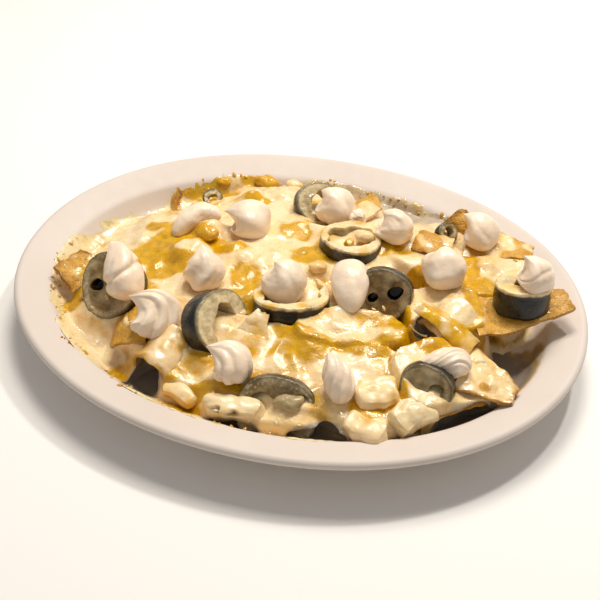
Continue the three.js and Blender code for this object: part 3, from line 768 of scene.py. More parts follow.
def fold_height(fold, x, y):
    fold_x, fold_y, top, heading, length, width, rise_along, rise_across, drop = fold
    along, across = in_line(x, y, fold_x, fold_y, heading)
    reach = ((along / length) ** 4 + (across / width) ** 4) ** 0.25
    return top + along * rise_along + across * rise_across - np.maximum(0, reach - 1) * drop


def film_edge(bearing):
    """How far in from the platter's edge the film begins, at a bearing in radians.

    Two bays reach farther in: a shallow one at the left and the bare part of the well at the right.
    """

    def bay(centre, width):
        off = np.angle(np.exp(1j * (bearing - math.radians(centre))))
        return np.exp(-((off / math.radians(width)) ** 2))

    scallops = 1.6 * np.sin(11 * bearing) + 1.2 * np.sin(17 * bearing + 1)
    return FILM_MARGIN + 7.5 * bay(152, 16) + 55 * bay(-14, 30) + scallops


def film_height(x, y, lace):
    """The baked film on the wall of the well, up to an edge that wanders by the lace."""
    inset = inset_at(x, y)
    edge = film_edge(np.arctan2(y / HALF_WIDTH, x / HALF_LENGTH)) + lace
    return platter_height(inset) + np.minimum(FILM_DEPTH, FILM_SLOPE * (inset - edge))


def folded_height(x, y):
    """The heap without its film and fine relief."""
    height = soft_max(np.array([fold_height(fold, x, y) for fold in FOLDS]), SOFTNESS)
    for lump_x, lump_y, rise, radius in LUMPS:
        reach = np.hypot(x - lump_x, y - lump_y) / radius
        height += rise * np.exp(-(reach ** 4))
    ripple = np.sin(x / 4.1 + 1.3 * np.sin(y / 6.3)) * np.cos(y / 4.7 + 1.1 * np.sin(x / 7.7))
    return height + RIPPLE * ripple


# %% The heap
def sag_height(flat):
    """Cheese that sags between what it covers and stretches over it in soft ridges."""
    return 1.3 * bumps(flat, 14, 1) + 0.8 * (0.35 - np.abs(bumps(flat, 9, 2)))


def cheese_height(x, y):
    """The heap and the film with all their relief."""
    flat = level(x, y)
    calm = ease(bumps(flat, 26, 9), -0.4, 0.5)
    sags = sag_height(flat)
    wrinkles = (0.26 * bumps(flat, 4, 3) + 0.1 * bumps(flat, 2, 4)) * (1 - 0.75 * calm)
    lace = 1.5 * bumps(flat, 8, 5) + 0.5 * bumps(flat, 4, 6)
    bubbled = 0.8 * blisters(flat, 5, 1) * ease(bumps(flat, 30, 7), -0.3, 0.4)
    heap = folded_height(x, y) + sags + wrinkles
    film = film_height(x, y, lace) + 0.24 * bumps(flat, 2.2, 8) + bubbled
    return soft_max(np.array([heap, film]), FILM_SOFTNESS)


def crease_depth(x, y, reach):
    """How far a place lies below the heap a reach away all round it."""
    around = np.radians(np.arange(0, 360, 45))
    ring = [folded_height(x + reach * math.cos(angle), y + reach * math.sin(angle)) for angle in around]
    return np.mean(ring, axis=0) - folded_height(x, y)


def air_over_platter(outer_inset, clearance):
    """The air over the platter as a solid, down to a clearance above the glaze."""
    surface = [(inset, height) for inset, height in zip(GLAZE_REACH, GLAZE_LEVEL) if inset > outer_inset]
    raised = [(inset + clearance, height + clearance) for inset, height in surface[:-1]]
    raised.append((HALF_WIDTH, surface[-1][1] + clearance))
    edge = (outer_inset, platter_height(outer_inset) + clearance)
    profile = [*reversed(raised), edge, (outer_inset, CEILING), (HALF_WIDTH, CEILING)]
    return spun("air", profile)


def rough_hollow(hollow, index):
    x, y, z, length, width, height, heading = hollow
    piece = start_ball("hollow", 48, 24)
    ball = points_of(piece)
    ball *= 1 + 0.1 * bumps(ball, 0.5, index)[:, None]
    ball = turned(ball * (length, width, height), "Z", heading)
    move_points(piece, ball + (x, y, z))
    return piece


def joined(name, parts):
    only(parts[0])
    for part in parts:
        part.select_set(True)
    bpy.ops.object.join()
    parts[0].name = name
    return parts[0]


def keep_large_bodies(piece):
    """Throw away the loose scraps that the cuts leave."""
    name = piece.name
    in_edit_mode(piece, lambda: bpy.ops.mesh.separate(type="LOOSE"))
    bodies = sorted(bpy.context.selected_objects, key=lambda body: -len(body.data.polygons))
    large = [body for body in bodies if len(body.data.polygons) >= SMALLEST_BODY]
    for scrap in bodies[len(large):]:
        bpy.data.objects.remove(scrap)
    return joined(name, large)


sheet_size = np.array((LENGTH, WIDTH)) - 2 * SHEET_INSET
steps_x, steps_y = (round(size / GRID_STEP) for size in sheet_size)
heap = start_piece("baked_cheese", bpy.ops.mesh.primitive_grid_add, size=MM,
                   x_subdivisions=steps_x, y_subdivisions=steps_y)
sheet = points_of(heap) * (*sheet_size, 0)
sheet[:, 2] = cheese_height(sheet[:, 0], sheet[:, 1])
move_points(heap, sheet)
in_edit_mode(
    heap,
    lambda: bpy.ops.mesh.extrude_region_move(TRANSFORM_OT_translate={"value": (0, 0, -EXTRUDED * MM)}),
    lambda: bpy.ops.mesh.select_all(action="SELECT"),
    lambda: bpy.ops.mesh.normals_make_consistent(inside=False),
)
block = points_of(heap)
block[block[:, 2] < -EXTRUDED / 2, 2] = HEAP_BOTTOM
move_points(heap, block)
cut(heap, air_over_platter(HEAP_INSET, -SINK), "INTERSECT")
for index, hollow in enumerate(HOLLOWS):
    cut(heap, rough_hollow(hollow, index))
heap = keep_large_bodies(heap)
print("cheese faces:", len(heap.data.polygons))

# %% [markdown]
# ## Where the cheese is golden, browned or shaded
#
# The dyed cheese melted where it fell, so its places are listed as soft patches. Cheese browns
# where it is thin on the hot dish. It baked grey along the back, and the same grey is painted on the
# walls of the hollows under the overhangs as shade. Shade is also painted into the creases, with a
# dark oily gold.

# %% Colours over the heap
# x, y, half length, half width, heading, strength: gold, brown and grey are each laid as such patches
GOLD_PATCHES = [
    (-74, 2, 20, 9, 80, 1.3), (-62, -9, 14, 8, 10, 1.3), (-57, 12, 9, 7, 0, 1.2),
    (-46, 13, 10, 5, -10, 1.0), (-37, 8, 8, 5, 0, 0.9), (-21, -15, 7, 13, 20, 1.2),
    (-9, 36, 8, 7, 40, 1.2), (-41, 59, 7, 4, 0, 0.9), (-78, 72, 14, 5, 20, 1.0),
    (-49, 85, 11, 5, 0, 1.2), (-66, 71, 9, 4, 0, 1.0), (-85, 20, 6, 4, 0, 1.0),
    (-104, -37, 5, 8, 0, 0.9), (-69, -30, 7, 5, 0, 1.0), (81, 31, 9, 8, 0, 0.9),
    (90, 12, 8, 15, 10, 1.4), (61, 13, 6, 5, 0, 1.2), (37, 30, 13, 5, 0, 0.6),
    (3, 16, 8, 6, 0, 1.1), (-10, -78, 14, 5, 0, 1.2), (-25, -87, 11, 4, -10, 1.2),
    (18, -50, 17, 5, 10, 0.6), (14, -41, 9, 3.5, 0, 0.9), (-62, -74, 7, 9, -20, 0.9),
    (-35, -75, 6, 5, 0, 0.6), (-24, -67, 9, 6, 0, 0.6), (41, -25, 5, 3, 0, 0.6),
    (29, -43, 11, 3, 8, 0.9), (45, -41, 14, 4, 5, 0.7), (59, -34, 14, 4, 15, 0.7),
    (81, -25, 15, 7, 20, 1.4), (91, -16, 7, 6, 0, 1.2), (57, -17, 5, 4, 0, 1.1),
    (57, -69, 6, 5, 0, 1.0), (69, -60, 4, 6, 0, 1.0), (65, -24, 9, 4, 0, 1.0),
    (-69, -14, 8, 7, 0, 1.3), (-66, -31, 4, 5, 0, 0.9),
]
BROWN_PATCHES = [
    (-114, -4, 6, 26, 10, 0.3), (-92, 34, 12, 9, 40, 0.3), (-70, 80, 26, 6, 30, 0.3),
    (60, 80, 60, 7, -14, 0.4), (-92, -66, 24, 4, -42, 0.25), (-20, -97, 50, 3, -8, 0.35),
]
GREY_PATCHES = [(46, 76, 34, 12, -20, 0.75), (10, 92, 26, 6, 0, 0.5), (-24, 90, 22, 6, 6, 0.3)]


def beside_slices(surface):
    """Where the surface lies just outside the rim of a slice, from 0 to 1."""
    most = np.zeros(len(surface))
    for x, y, _, radius, *_ in SLICES:
        reach = np.hypot(surface[:, 0] - x, surface[:, 1] - y) / radius
        most = np.maximum(most, ease(reach, 0.5, 0.95) * (1 - ease(reach, 1.1, 1.45)))
    return most


def inside_hollows(surface):
    """Where the surface is the wall of a hollow, from 0 to 1."""
    most = np.zeros(len(surface))
    for x, y, z, length, width, height, heading in HOLLOWS:
        along, across = in_line(surface[:, 0], surface[:, 1], x, y, heading)
        reach = np.sqrt((along / length) ** 2 + (across / width) ** 2 + ((surface[:, 2] - z) / height) ** 2)
        most = np.maximum(most, 1 - ease(reach, 1.02, 1.16))
    return most


def colour_cheese(heap):
    """Store where the heap is golden, browned and baked grey, and where shade is painted in its creases and
    hollows.
    """
    surface = points_of(heap)
    flat = surface * (1, 1, 0)
    inset = inset_at(surface[:, 0], surface[:, 1])
    thickness = surface[:, 2] - platter_height(inset)
    film = 1 - ease(thickness, 1.8, 3.5)
    crease = crease_depth(surface[:, 0], surface[:, 1], 5) - 0.5 * sag_height(flat)
    valley = 0.4 * ease(crease, 0.2, 2.0)
    cloudy = 0.22 * bumps(flat, 24, 22) + 0.18 * bumps(flat, 9, 23) - 0.02
    run_off = (valley + 0.35 * beside_slices(surface) + cloudy) * (1 - film)
    store(heap, "gold", patches(surface, GOLD_PATCHES, 20) + run_off)
    # painted shade in the creases between folds
    store(heap, "crease", ease(crease, 1.2, 3.4) * (1 - film))
    thin = (1 - ease(thickness, 0.1, 0.9)) * (1 - ease(inset, 24, 34))
    toasted = 0.4 * thin * ease(bumps(flat, 7, 21), -0.5, 0.6)
    store(heap, "browned", np.maximum(toasted, patches(surface, BROWN_PATCHES, 24)))
    # painted shade on the walls of the hollows, and the grey baked along the back
    store(heap, "hollow", np.maximum(inside_hollows(surface), patches(surface, GREY_PATCHES, 28)))


colour_cheese(heap)
serve(heap, CHEESE, "melted_cheese", 60)

# %% [markdown]
# ## Tortilla chips
#
# A chip is a triangle cut from a rolled sheet, and frying bends it both ways. Each starts as a flat
# grid whose rows narrow from a buried base to a free tip. The grid is rolled along its length and
# across it, waved and blistered, and then given its thickness. What would reach into the platter is
# cut off. Cheese ran over the end that leaves the heap, and bare edges toasted.

# %% Tortilla chips
CHIP_THICKNESS = 1.9
CHIP_ROWS = 56
CHIP_DRAWS = 900  # where the chips' random draws start
FULL_COAT = 0.9  # from here on a chip is covered all over
TIGHT_ARCH = 100  # degrees of arch from which a chip is rolled up
PAST_EDGE = -20  # an inset that lies outside the platter
# x, y, z, heading, pitch, length, half base, half tip, curl, arch, cheese coat, its gold, toast
CHIPS = [
    (87, -4, 30.3, 25, -7, 51, 15.5, 7, -24, 11, 0.0, 0.6, 0.35),
    (76, 54, 30.5, 0, -1, 35, 15, 5, 6, 14, 0.6, 0.2, 0.4),
    (73, 57, 26, 100, 58, 16, 15, 2, 10, 40, 0.1, 0.7, 1.0),
    (92, -36, 28, -13, -7, 27, 15, 5, 12, 12, 0.85, 0.15, 0.9),
    (86, -47, 25, -52, -16, 14, 20, 19, 8, 22, 0.5, 0.6, 0.6),
    (-104, -23, 15.5, 165, 44, 17, 13, 10, 30, -30, 0.4, 0.6, 0.9),
    (-56, -51, 26, 200, -2, 21, 13, 9, 50, 30, 0.4, 0.6, 0.6),
    (-39, -54, 30, -112, -6, 23, 19, 20, 6, 220, 0.9, 0.2, 0.9),
    (86, -1, 37, -125, -6, 24, 15, 14, 12, 140, 1.0, 0.1, 0.2),
    (65, -13, 39.5, -19, -5, 34, 5, 8, 24, 80, 1.0, 0.55, 0.35),
    (-93, 56, 9, 40, 64, 12, 6, 1.5, 10, 20, 0.3, 0.9, 0.8),
    (-6, -52, 23.5, 80, 40, 19, 11, 3, 14, 30, 1.0, 0.1, 0.2),
    (72, 40, 34, 175, 14, 20, 10, 8, 30, 90, 0.5, 0.3, 0.8),
    (14, 62, 25, 35, 28, 15, 9, 6, 12, 20, 0.8, 0.05, 0.1),
]


def seeded(seed):
    """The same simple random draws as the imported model's, one number from 0 to 1 at each call."""
    state = [seed]

    def draw():
        state[0] = (state[0] * 1664525 + 1013904223) % 4294967296
        return state[0] / 4294967296

    return draw


def chip_relief(flat, phase, coat, index):
    """Waves from frying, large blisters, and small ones that a coat of cheese softens."""
    waves = 0.9 * np.sin(flat[:, 0] / 5 + phase) * np.cos(flat[:, 1] / 6 + phase)
    domes = 0.7 * blisters(flat, 9, index) * ease(bumps(flat, 16, index), 0, 0.6)
    crisp = 0.55 * blisters(flat, 3.4, index + 2) + 0.16 * bumps(flat, 1.3, index + 4)
    return waves + 0.35 * bumps(flat, 4, index) + domes + 0.35 * crisp * (1 - 0.5 * coat)


def rolled(flat, lift, bow, hoop):
    """A flat sheet rolled to the radius bow along it and hoop across it, with its relief lifted off it."""
    along, across = flat[:, 0] / bow, flat[:, 1] / hoop
    sag = (bow + lift) * (1 - np.cos(along)) + (hoop + lift) * (1 - np.cos(across))
    return np.column_stack(((bow + lift) * np.sin(along), (hoop + lift) * np.sin(across), lift - sag))


def chip(spec, index):
    x, y, z, heading, pitch, length, base, tip, curl, arch, coat, gold, toast = spec
    piece = start_piece(numbered("crisp_chip", index), bpy.ops.mesh.primitive_grid_add, size=MM,
                        x_subdivisions=CHIP_ROWS, y_subdivisions=CHIP_ROWS)
    square = points_of(piece)
    run, side = square[:, 0] + 0.5, 2 * square[:, 1]
    outline = level(run * length, side * base, 7 * index)
    ragged = 0.7 * bumps(outline, 6, index) + 0.12 * bumps(outline, 1.8, index + 1)
    half_width = base + (tip - base) * run ** 1.2 + ragged
    flat = level(run * (length + ragged), side * half_width, 9 * index)
    phase = seeded(round(x * 7 + y * 13 + CHIP_DRAWS))() * 6
    lift = chip_relief(flat, phase, coat, index)
    sheet = rolled(flat, lift, length / math.radians(curl), 2 * base / math.radians(arch))
    move_points(piece, laid(sheet, "Y", -pitch, heading, (x, y, z)))
    at_edge = ease(np.maximum(np.abs(side), run), 0.8, 1.0)
    smear = ease(bumps(flat, 9, index + 3) + 1.6 * coat - 1.5 * run, -0.1, 0.35)
    store(piece, "toasted", toast * (0.35 + 0.65 * at_edge) + 0.25 * bumps(flat, 7, index + 5))
    store(piece, "coat", 1.0 if coat >= FULL_COAT else smear)
    store(piece, "gold", gold + 0.35 * bumps(flat, 9, index + 7))
    rolled_under = 0.9 * ease(-side, -0.1, 0.45) if arch > TIGHT_ARCH else 0.0
    scorched = np.maximum(at_edge, rolled_under)
    store(piece, "browned", toast * scorched + 0.3 * bumps(flat, 6, index + 9))
    finish_with(piece, "SOLIDIFY", thickness=CHIP_THICKNESS * MM, offset=0)
    cut(piece, over_platter, "INTERSECT", keep=True)
    finish_with(piece, "SUBSURF", levels=1, render_levels=1)
    serve(piece, TORTILLA, numbered("tortilla_chip", index))
    return piece


over_platter = air_over_platter(PAST_EDGE, 0)
chips = [chip(spec, index) for index, spec in enumerate(CHIPS)]
print("chips:", len(chips), "with", sum(len(piece.data.polygons) for piece in chips), "faces")

# %% [markdown]
# ## Pepper slices
#
# A pickled pepper is cut across into thick rings: dark skin round the outside, a wall of flesh, and
# one to three seed chambers. Each slice is a disc with its chambers cut out. A voxel remesh then
# rounds every cut edge alike, and small bumps make it look wet and soft. What would reach into the
# platter is cut off at the end, as it is from the chips.

# %% Pepper slices
SLICE_VOXEL = 0.55
SKIN_DEPTH = 1.3
SLICE_STEPS, CHAMBER_STEPS = 96, 40
SLICE_WAVES, SLICE_WAVE = 3, 0.04  # how often the outline swells, and by what share of the radius
CHAMBER_WAVES, CHAMBER_WAVE = 2, 0.12
CHAMBER_SHRINK = 0.28  # each chamber is smaller than the first by this share times its number


def wavy(radius, angle, waves, depth):
    """A radius that swells and narrows round an outline."""
    return radius * (1 + depth * np.cos(waves * angle + 0.6))


def round_column(name, radius, waves, depth, low, high, steps):
    """An upright column with a wavy round outline."""
    piece = start_piece(name, bpy.ops.mesh.primitive_cylinder_add, vertices=steps, radius=MM, depth=MM)
    points = points_of(piece)
    angle = np.arctan2(points[:, 1], points[:, 0])
    reach = wavy(radius, angle, waves, depth)
    height = np.where(points[:, 2] > 0, high, low)
    move_points(piece, np.column_stack((reach * np.cos(angle), reach * np.sin(angle), height)))
    return piece


def cut_chambers(piece, radius, thickness, chambers, opening, index):
    """Cut the seed chambers and give back the middle and size of each. A lone one goes right through."""
    offset = 0.42 * radius if chambers > 1 else 0
    floor = -0.7 * thickness if chambers > 1 else -2 * thickness
    places = []
    for turn in range(chambers):
        angle = 2 * math.pi * turn / chambers + 1.9
        middle = (offset * math.cos(angle), offset * math.sin(angle), 0)
        size = radius * opening * (1 - CHAMBER_SHRINK * turn)
        chamber = round_column("chamber", size, CHAMBER_WAVES, CHAMBER_WAVE, floor, thickness, CHAMBER_STEPS)
        even = points_of(chamber)
        ragged = 1 + 0.2 * bumps(even * (1, 1, 0), 0.3 * radius, 36 + index + turn)
        uneven = even * level(0.8 * ragged, 1.25 * ragged, 1)
        move_points(chamber, turned(uneven, "Z", math.degrees(angle) - 90) + middle)
        cut(piece, chamber)
        places.append((*middle[:2], size))
    return places


def pepper_slice(spec, index):
    x, y, z, radius, thickness, heading, tilt, chambers, opening, pale, speckle, coat = spec
    name = numbered("pepper_slice", index)
    piece = round_column(name, radius, SLICE_WAVES, SLICE_WAVE, -thickness, 0, SLICE_STEPS)
    places = cut_chambers(piece, radius, thickness, chambers, opening, index)
    finish_with(piece, "REMESH", mode="VOXEL", voxel_size=SLICE_VOXEL * MM)
    finish_with(piece, "SMOOTH", factor=0.5, iterations=9)
    body = points_of(piece)
    angle = np.arctan2(body[:, 1], body[:, 0])
    depth_in = wavy(radius, angle, SLICE_WAVES, SLICE_WAVE) - np.hypot(body[:, 0], body[:, 1])
    place = body + (50 * index, 0, 0)
    skin = 1 - ease(depth_in, 0.45 * SKIN_DEPTH, SKIN_DEPTH)
    face = ease(body[:, 2], -2.0, -0.3)
    in_chamber = np.zeros(len(body))
    for middle_x, middle_y, size in places:
        reach = np.hypot(body[:, 0] - middle_x, body[:, 1] - middle_y) / size
        in_chamber = np.maximum(in_chamber, 1 - ease(reach, 1.05, 1.3))
    # painted shade, darkest at the floors of blind chambers
    deep = in_chamber * ease(-body[:, 2], 0.3, 2.2) * (1 if chambers > 1 else 0.45)
    wall = 1 - ease(np.abs(depth_in - 0.5 * (1 - opening) * radius) / (radius * 0.3), 0.4, 1)
    cheese = coat * ease(body[:, 2], -2.6, -0.6) * np.clip(1 + 0.5 * bumps(place, 9, 34), 0, 1)
    ripple = 0.4 * bumps(place, 6, 30) + 0.12 * bumps(place, 2.2, 31)
    body[:, 2] += ripple * face - 0.5 * wall * face * (1 - coat) + 0.7 * cheese
    belly = 0.5 * np.cos(np.pi * (body[:, 2] / thickness + 0.5)) + 0.3 * bumps(place, 7, 32)
    body[:, :2] *= (1 + (skin * belly + 0.5 * cheese) / radius)[:, None]
    near_skin = 1 - ease(depth_in, 2.2, 4.5)
    store(piece, "skin", skin * (1 - 0.4 * face))
    store(piece, "pale", pale + 0.35 * bumps(place, 6, 33) + 0.2 * near_skin)
    store(piece, "speckle", speckle * (0.15 + 0.85 * near_skin) * face)
    store(piece, "deep", deep)
    store(piece, "coat", cheese)
    store(piece, "gold", 0.12 + 0.45 * bumps(place, 8, 35))
    store(piece, "browned", 0)
    move_points(piece, laid(body, "Y", tilt, heading, (x, y, z)))
    cut(piece, over_platter, "INTERSECT", keep=True)
    serve(piece, PEPPER, numbered("jalapeno_slice", index))
    return piece


slices = [pepper_slice(spec, index) for index, spec in enumerate(SLICES)]
bpy.data.objects.remove(over_platter)
print("slices:", len(slices), "with", sum(len(piece.data.polygons) for piece in slices), "faces")

# %% [markdown]
# ## Chicken
#
# Breast meat is diced before it goes on, so each piece began as a block with torn faces. A cube is
# subdivided, its corners are rounded off, and bumps that run along the fibres roughen it. Shade is
# painted into its tear and the deep dents of its lower sides, and the cheese on its lower sides is
# painted a deeper gold as shade.

# %% Chicken
# x, y, z, length, width, height, heading, lean, cheese coat,
# middle of a tear in it, the tear's half length and depth
CHICKEN = [
    (-1, -83, 17.5, 29, 11, 12, 4, 14, 0.2, -2, -4.5, 4.5, 7, 2.6),
    (-28.5, -81, 15, 18, 7, 6, -14, 8, 1.0, 0, 0, 0, 1, 0),
    (58, -78, 19, 22, 13, 11, -10, 10, 0.9, -8.5, -5, 0, 2.4, 2.4),
    (60, -61, 25, 21, 16, 9, 20, 12, 1.0, 0, 0, 0, 1, 0),
    (76, -67, 22, 21, 15, 11, 52, 24, 0.1, 0, 0, 0, 1, 0),
]


def chicken_piece(spec, index):
    x, y, z, length, width, height, heading, lean, coat, tear_x, tear_y, tear_z, tear_long, tear_deep = spec
    piece = start_piece(numbered("diced_chicken", index), bpy.ops.mesh.primitive_cube_add, size=MM)
    in_edit_mode(piece, lambda: bpy.ops.mesh.subdivide(number_cuts=41))
    cube = points_of(piece)
    corner = np.maximum(0, np.linalg.norm(cube, axis=1) - 0.5)
    body = cube * (1 - 0.75 * corner)[:, None] * (length, width, height)
    body[:, 1] += 0.9 * np.sin(cube[:, 0] * 5 + 2 * index)
    place = body + (60 * index, 0, 0)
    fibres = bumps(place * (0.35, 1, 1), 1.8, 41) + 0.5 * bumps(place * (0.4, 1, 1), 0.9, 42)
    rough = 1.5 * bumps(place, 11, 40) + 0.7 * bumps(place, 5, 43) + 0.07 * (1.2 - coat) * fibres
    outward = body / np.linalg.norm(body, axis=1)[:, None]
    top = ease(cube[:, 2], 0.0, 0.4)
    body += outward * rough[:, None]
    reach = (body - (tear_x, tear_y, tear_z)) / (tear_long, 1.6, 1.6)
    tear = 1 - ease(np.linalg.norm(reach, axis=1) + 0.3 * bumps(place, 3, 44), 0.7, 1.3)
    body -= outward * (tear_deep * tear)[:, None]
    tear *= min(1, tear_deep)
    store(piece, "coat", coat * (0.7 + 0.6 * top) + 0.3 * bumps(place, 6, 45))
    # the lower sides take a deeper gold of cheese, painted as shade
    low = 1 - ease(cube[:, 2], -0.4, 0.1)
    store(piece, "gold", 0.05 + 0.35 * bumps(place, 8, 46) + 0.55 * low)
    store(piece, "browned", 0)
    # painted shade in the tear and in the deep dents of the lower sides
    store(piece, "hollow", np.maximum(tear, ease(-rough, 1.4, 2.4) * (1 - top)))
    move_points(piece, laid(body, "X", lean, heading, (x, y, z)))
    serve(piece, CHICKEN_MEAT, numbered("chicken_piece", index))
    return piece


chicken = [chicken_piece(spec, index) for index, spec in enumerate(CHICKEN)]
print("chicken pieces:", len(chicken))

# %% [markdown]
# ## Sour cream
#
# Each dollop is squeezed from a star nozzle and pulled away, so it swells at the foot, narrows to a
# peak that leans the way the hand went, and keeps the star's lobes with sharp grooves between them.
# A ball has the right skin for this: its lower pole becomes the foot, its upper pole the peak, and
# each of its rings is laid round a curved middle line from foot to peak.

# %% Sour cream
BALL_SEGMENTS, BALL_RINGS = 128, 72
POLE = 1e-4  # how near to an end of its run a point counts as the pole
GROOVE_DRAWS = 400  # where the random draws for the grooves start
PIPED_GROOVES = 6  # with more grooves than this, the nozzle's star is still sharp
# foot, shoulder, peak, half across, half along, heading, twist, kind,
# grooves, how deep they are, where a fold runs round it (0 for none) and how deep that is
DOLLOPS = [
    ((-74, -40, 25), (-78, -27, 42), (-90.5, -19.5, 42.5), 9.5, 10.5, 118, 40, "kiss", 4, 0.05, 0.34, 0.12),
    ((-52, -57, 22), (-48, -48, 38), (-66, -50, 38.5), 9, 12.5, 50, 40, "kiss", 9, 0.09, 0, 0),
    ((-41.5, -17, 26), (-40.5, -17, 40), (-44.5, -10, 45), 9.5, 10, 100, 30, "kiss", 5, 0.1, 0, 0),
    ((-71, 14, 26), (-63, 34, 36), (-50, 28, 31), 6.5, 6.5, 90, 0, "rope", 3, 0.04, 0, 0),
    ((-33, 27, 27), (-30, 29, 41), (-49, 29.5, 36), 11.5, 10.5, 0, 20, "kiss", 4, 0.07, 0, 0),
    ((0, -16, 29), (2, -16, 46), (-5, -15.5, 48), 10.8, 10.5, 0, 40, "kiss", 4, 0.05, 0, 0),
    ((5, 54, 25.5), (7, 54, 41.5), (-3.5, 56, 41.5), 10.3, 10, 30, 30, "kiss", 4, 0.05, 0, 0),
    ((17, 53, 27), (18, 53, 34), (22, 50, 33), 5.5, 4.5, -20, 0, "kiss", 3, 0.04, 0, 0),
    ((41, 40, 32), (43, 40, 45), (33.5, 41.5, 46.5), 9.3, 9, 60, 20, "kiss", 4, 0.06, 0.3, 0.05),
    ((28, 3, 36), (31, -8, 46), (36, -24, 31.5), 10.5, 8, 90, 0, "rope", 3, 0.03, 0, 0),
    ((72, 15, 32), (72, 15, 48), (70, 20, 49), 12.4, 10.8, 15, 30, "kiss", 4, 0.05, 0, 0),
    ((84, 52, 30), (86, 52, 43), (73, 54, 45), 9.8, 8.5, -15, 20, "kiss", 4, 0.05, 0, 0),
    ((114.5, 12, 42.5), (117.5, 12, 52.5), (107.5, 14, 57.5), 9, 8.5, -10, 30, "kiss", 4, 0.06, 0.4, 0.06),
    ((-6, -70, 23), (-4, -68, 36), (-19.5, -67.5, 36), 7.9, 10.2, 70, 40, "kiss", 8, 0.09, 0, 0),
    ((45, -69, 22), (41, -62, 37), (34.5, -57, 38.5), 7, 7.6, 90, 60, "drop", 7, 0.08, 0, 0),
    ((95, -40, 30), (86, -40, 38), (73.5, -48.5, 34.5), 6.7, 6.8, 90, 20, "drop", 7, 0.08, 0, 0),
]


def girth(kind, run):
    """How thick it is along its run: a kiss ends in a point, a drop tapers, a rope stays even."""
    if kind == "rope":
        return np.sqrt(np.maximum(0, 1 - np.abs(2 * run - 0.94) ** 3)) * (1 - 0.25 * run)
    if kind == "drop":
        return np.maximum(0, np.sin(np.pi * run ** 0.6)) ** 0.7
    rounded = np.sqrt(1 - (1 - np.minimum(1, run / 0.12 + 0.02)) ** 2)
    return rounded * (1 - run ** 2.4) ** 1.1 * (0.86 + 1.1 * run * (1 - run))


def star_section(angle, run, grooves, depth, index):
    """The round section with soft lobes and narrow creases that come and go along its run."""
    draw = seeded(GROOVE_DRAWS + 37 * index)
    piped = grooves > PIPED_GROOVES
    reach = 1 if piped else 0.6
    section = 1 + (0.5 if piped else 0.8) * depth * np.cos(grooves * angle + index)
    width = 0.12 if piped else 0.2
    for groove in range(grooves):
        at = 2 * math.pi * (groove + 0.5 + 0.3 * (draw() - 0.5)) / grooves
        off = np.angle(np.exp(1j * (angle - at)))
        start = 0 if piped else 0.45 * draw()
        along = ease(run, start - 0.05, start + 0.15) * (1 - ease(run, start + 0.35, start + reach))
        section -= depth * (0.5 + 1.3 * draw()) * along * np.exp(-((off / width) ** 2))
    return section


def unit(vectors):
    return vectors / np.linalg.norm(vectors, axis=1)[:, None]


def along_curve(ball, foot, shoulder, peak, heading):
    """A ball's points laid along a curve: how far each has run, the curve there and two ways across."""
    run = 1 - np.arccos(np.clip(ball[:, 2], -1, 1)) / math.pi
    foot, shoulder, peak = (np.array(point, float) for point in (foot, shoulder, peak))
    back, forth = (1 - run)[:, None], run[:, None]
    middle = back ** 2 * foot + 2 * back * forth * shoulder + forth ** 2 * peak
    forward = unit(2 * back * (shoulder - foot) + 2 * forth * (peak - shoulder))
    side = np.array((math.cos(math.radians(heading - 90)), math.sin(math.radians(heading - 90)), 0))
    width = unit(side - forward * (forward @ side)[:, None])
    return run, middle, width, np.cross(forward, width)


def closed(run, thickness):
    """The thickness along a run, brought to nothing at both poles."""
    return np.where((run < POLE) | (run > 1 - POLE), 0, thickness)


def dollop(spec, index):
    foot, shoulder, peak, half_across, half_along, heading, twist, kind, grooves, depth, fold, tuck = spec
    piece = start_ball(numbered("cream_dollop", index), BALL_SEGMENTS, BALL_RINGS)
    ball = points_of(piece)
    run, middle, width, away = along_curve(ball, foot, shoulder, peak, heading)
    angle = np.arctan2(ball[:, 1], ball[:, 0])
    star = star_section(angle + 0.35 * np.sin(5 * run + index), run, grooves, depth, index)
    turn = angle + math.radians(twist) * run
    place = ball * 6 + (40 * index, 0, 0)
    size = girth(kind, run) * star * (1 + 0.07 * bumps(place, 5, 50))
    if fold:
        off = run - fold - 0.12 * np.cos(angle + index)
        crease, bulge = np.exp(-((off / 0.035) ** 2)), np.exp(-(((off - 0.1) / 0.07) ** 2))
        size *= 1 - tuck * crease + 0.35 * tuck * bulge
    size = closed(run, size)
    points = middle + width * (half_across * size * np.cos(turn))[:, None]
    points += away * (half_along * size * np.sin(turn))[:, None]
    below_foot = {"rope": 0.25 * half_across, "drop": 0.12 * half_across, "kiss": 0.5}[kind]
    points[run < POLE] -= unit(np.subtract(shoulder, foot)[None, :]) * below_foot
    move_points(piece, points + 0.12 * np.column_stack([bumps(place, 2, 51 + axis) for axis in range(3)]))
    serve(piece, CREAM, numbered("sour_cream", index), 50)
    return piece


dollops = [dollop(spec, index) for index, spec in enumerate(DOLLOPS)]
print("dollops:", len(dollops), "with", sum(len(piece.data.polygons) for piece in dollops), "faces")

# %% [markdown]
# ## Curds, threads, seeds and crumbs
#
# What is too small to be packed as a piece of its own is made here, and each kind is joined into one
# piece: curds of cheese that kept their shape, threads that it drew when the slices were lifted,
# pepper seeds, and the crumbs that bake off along the edge of the film.

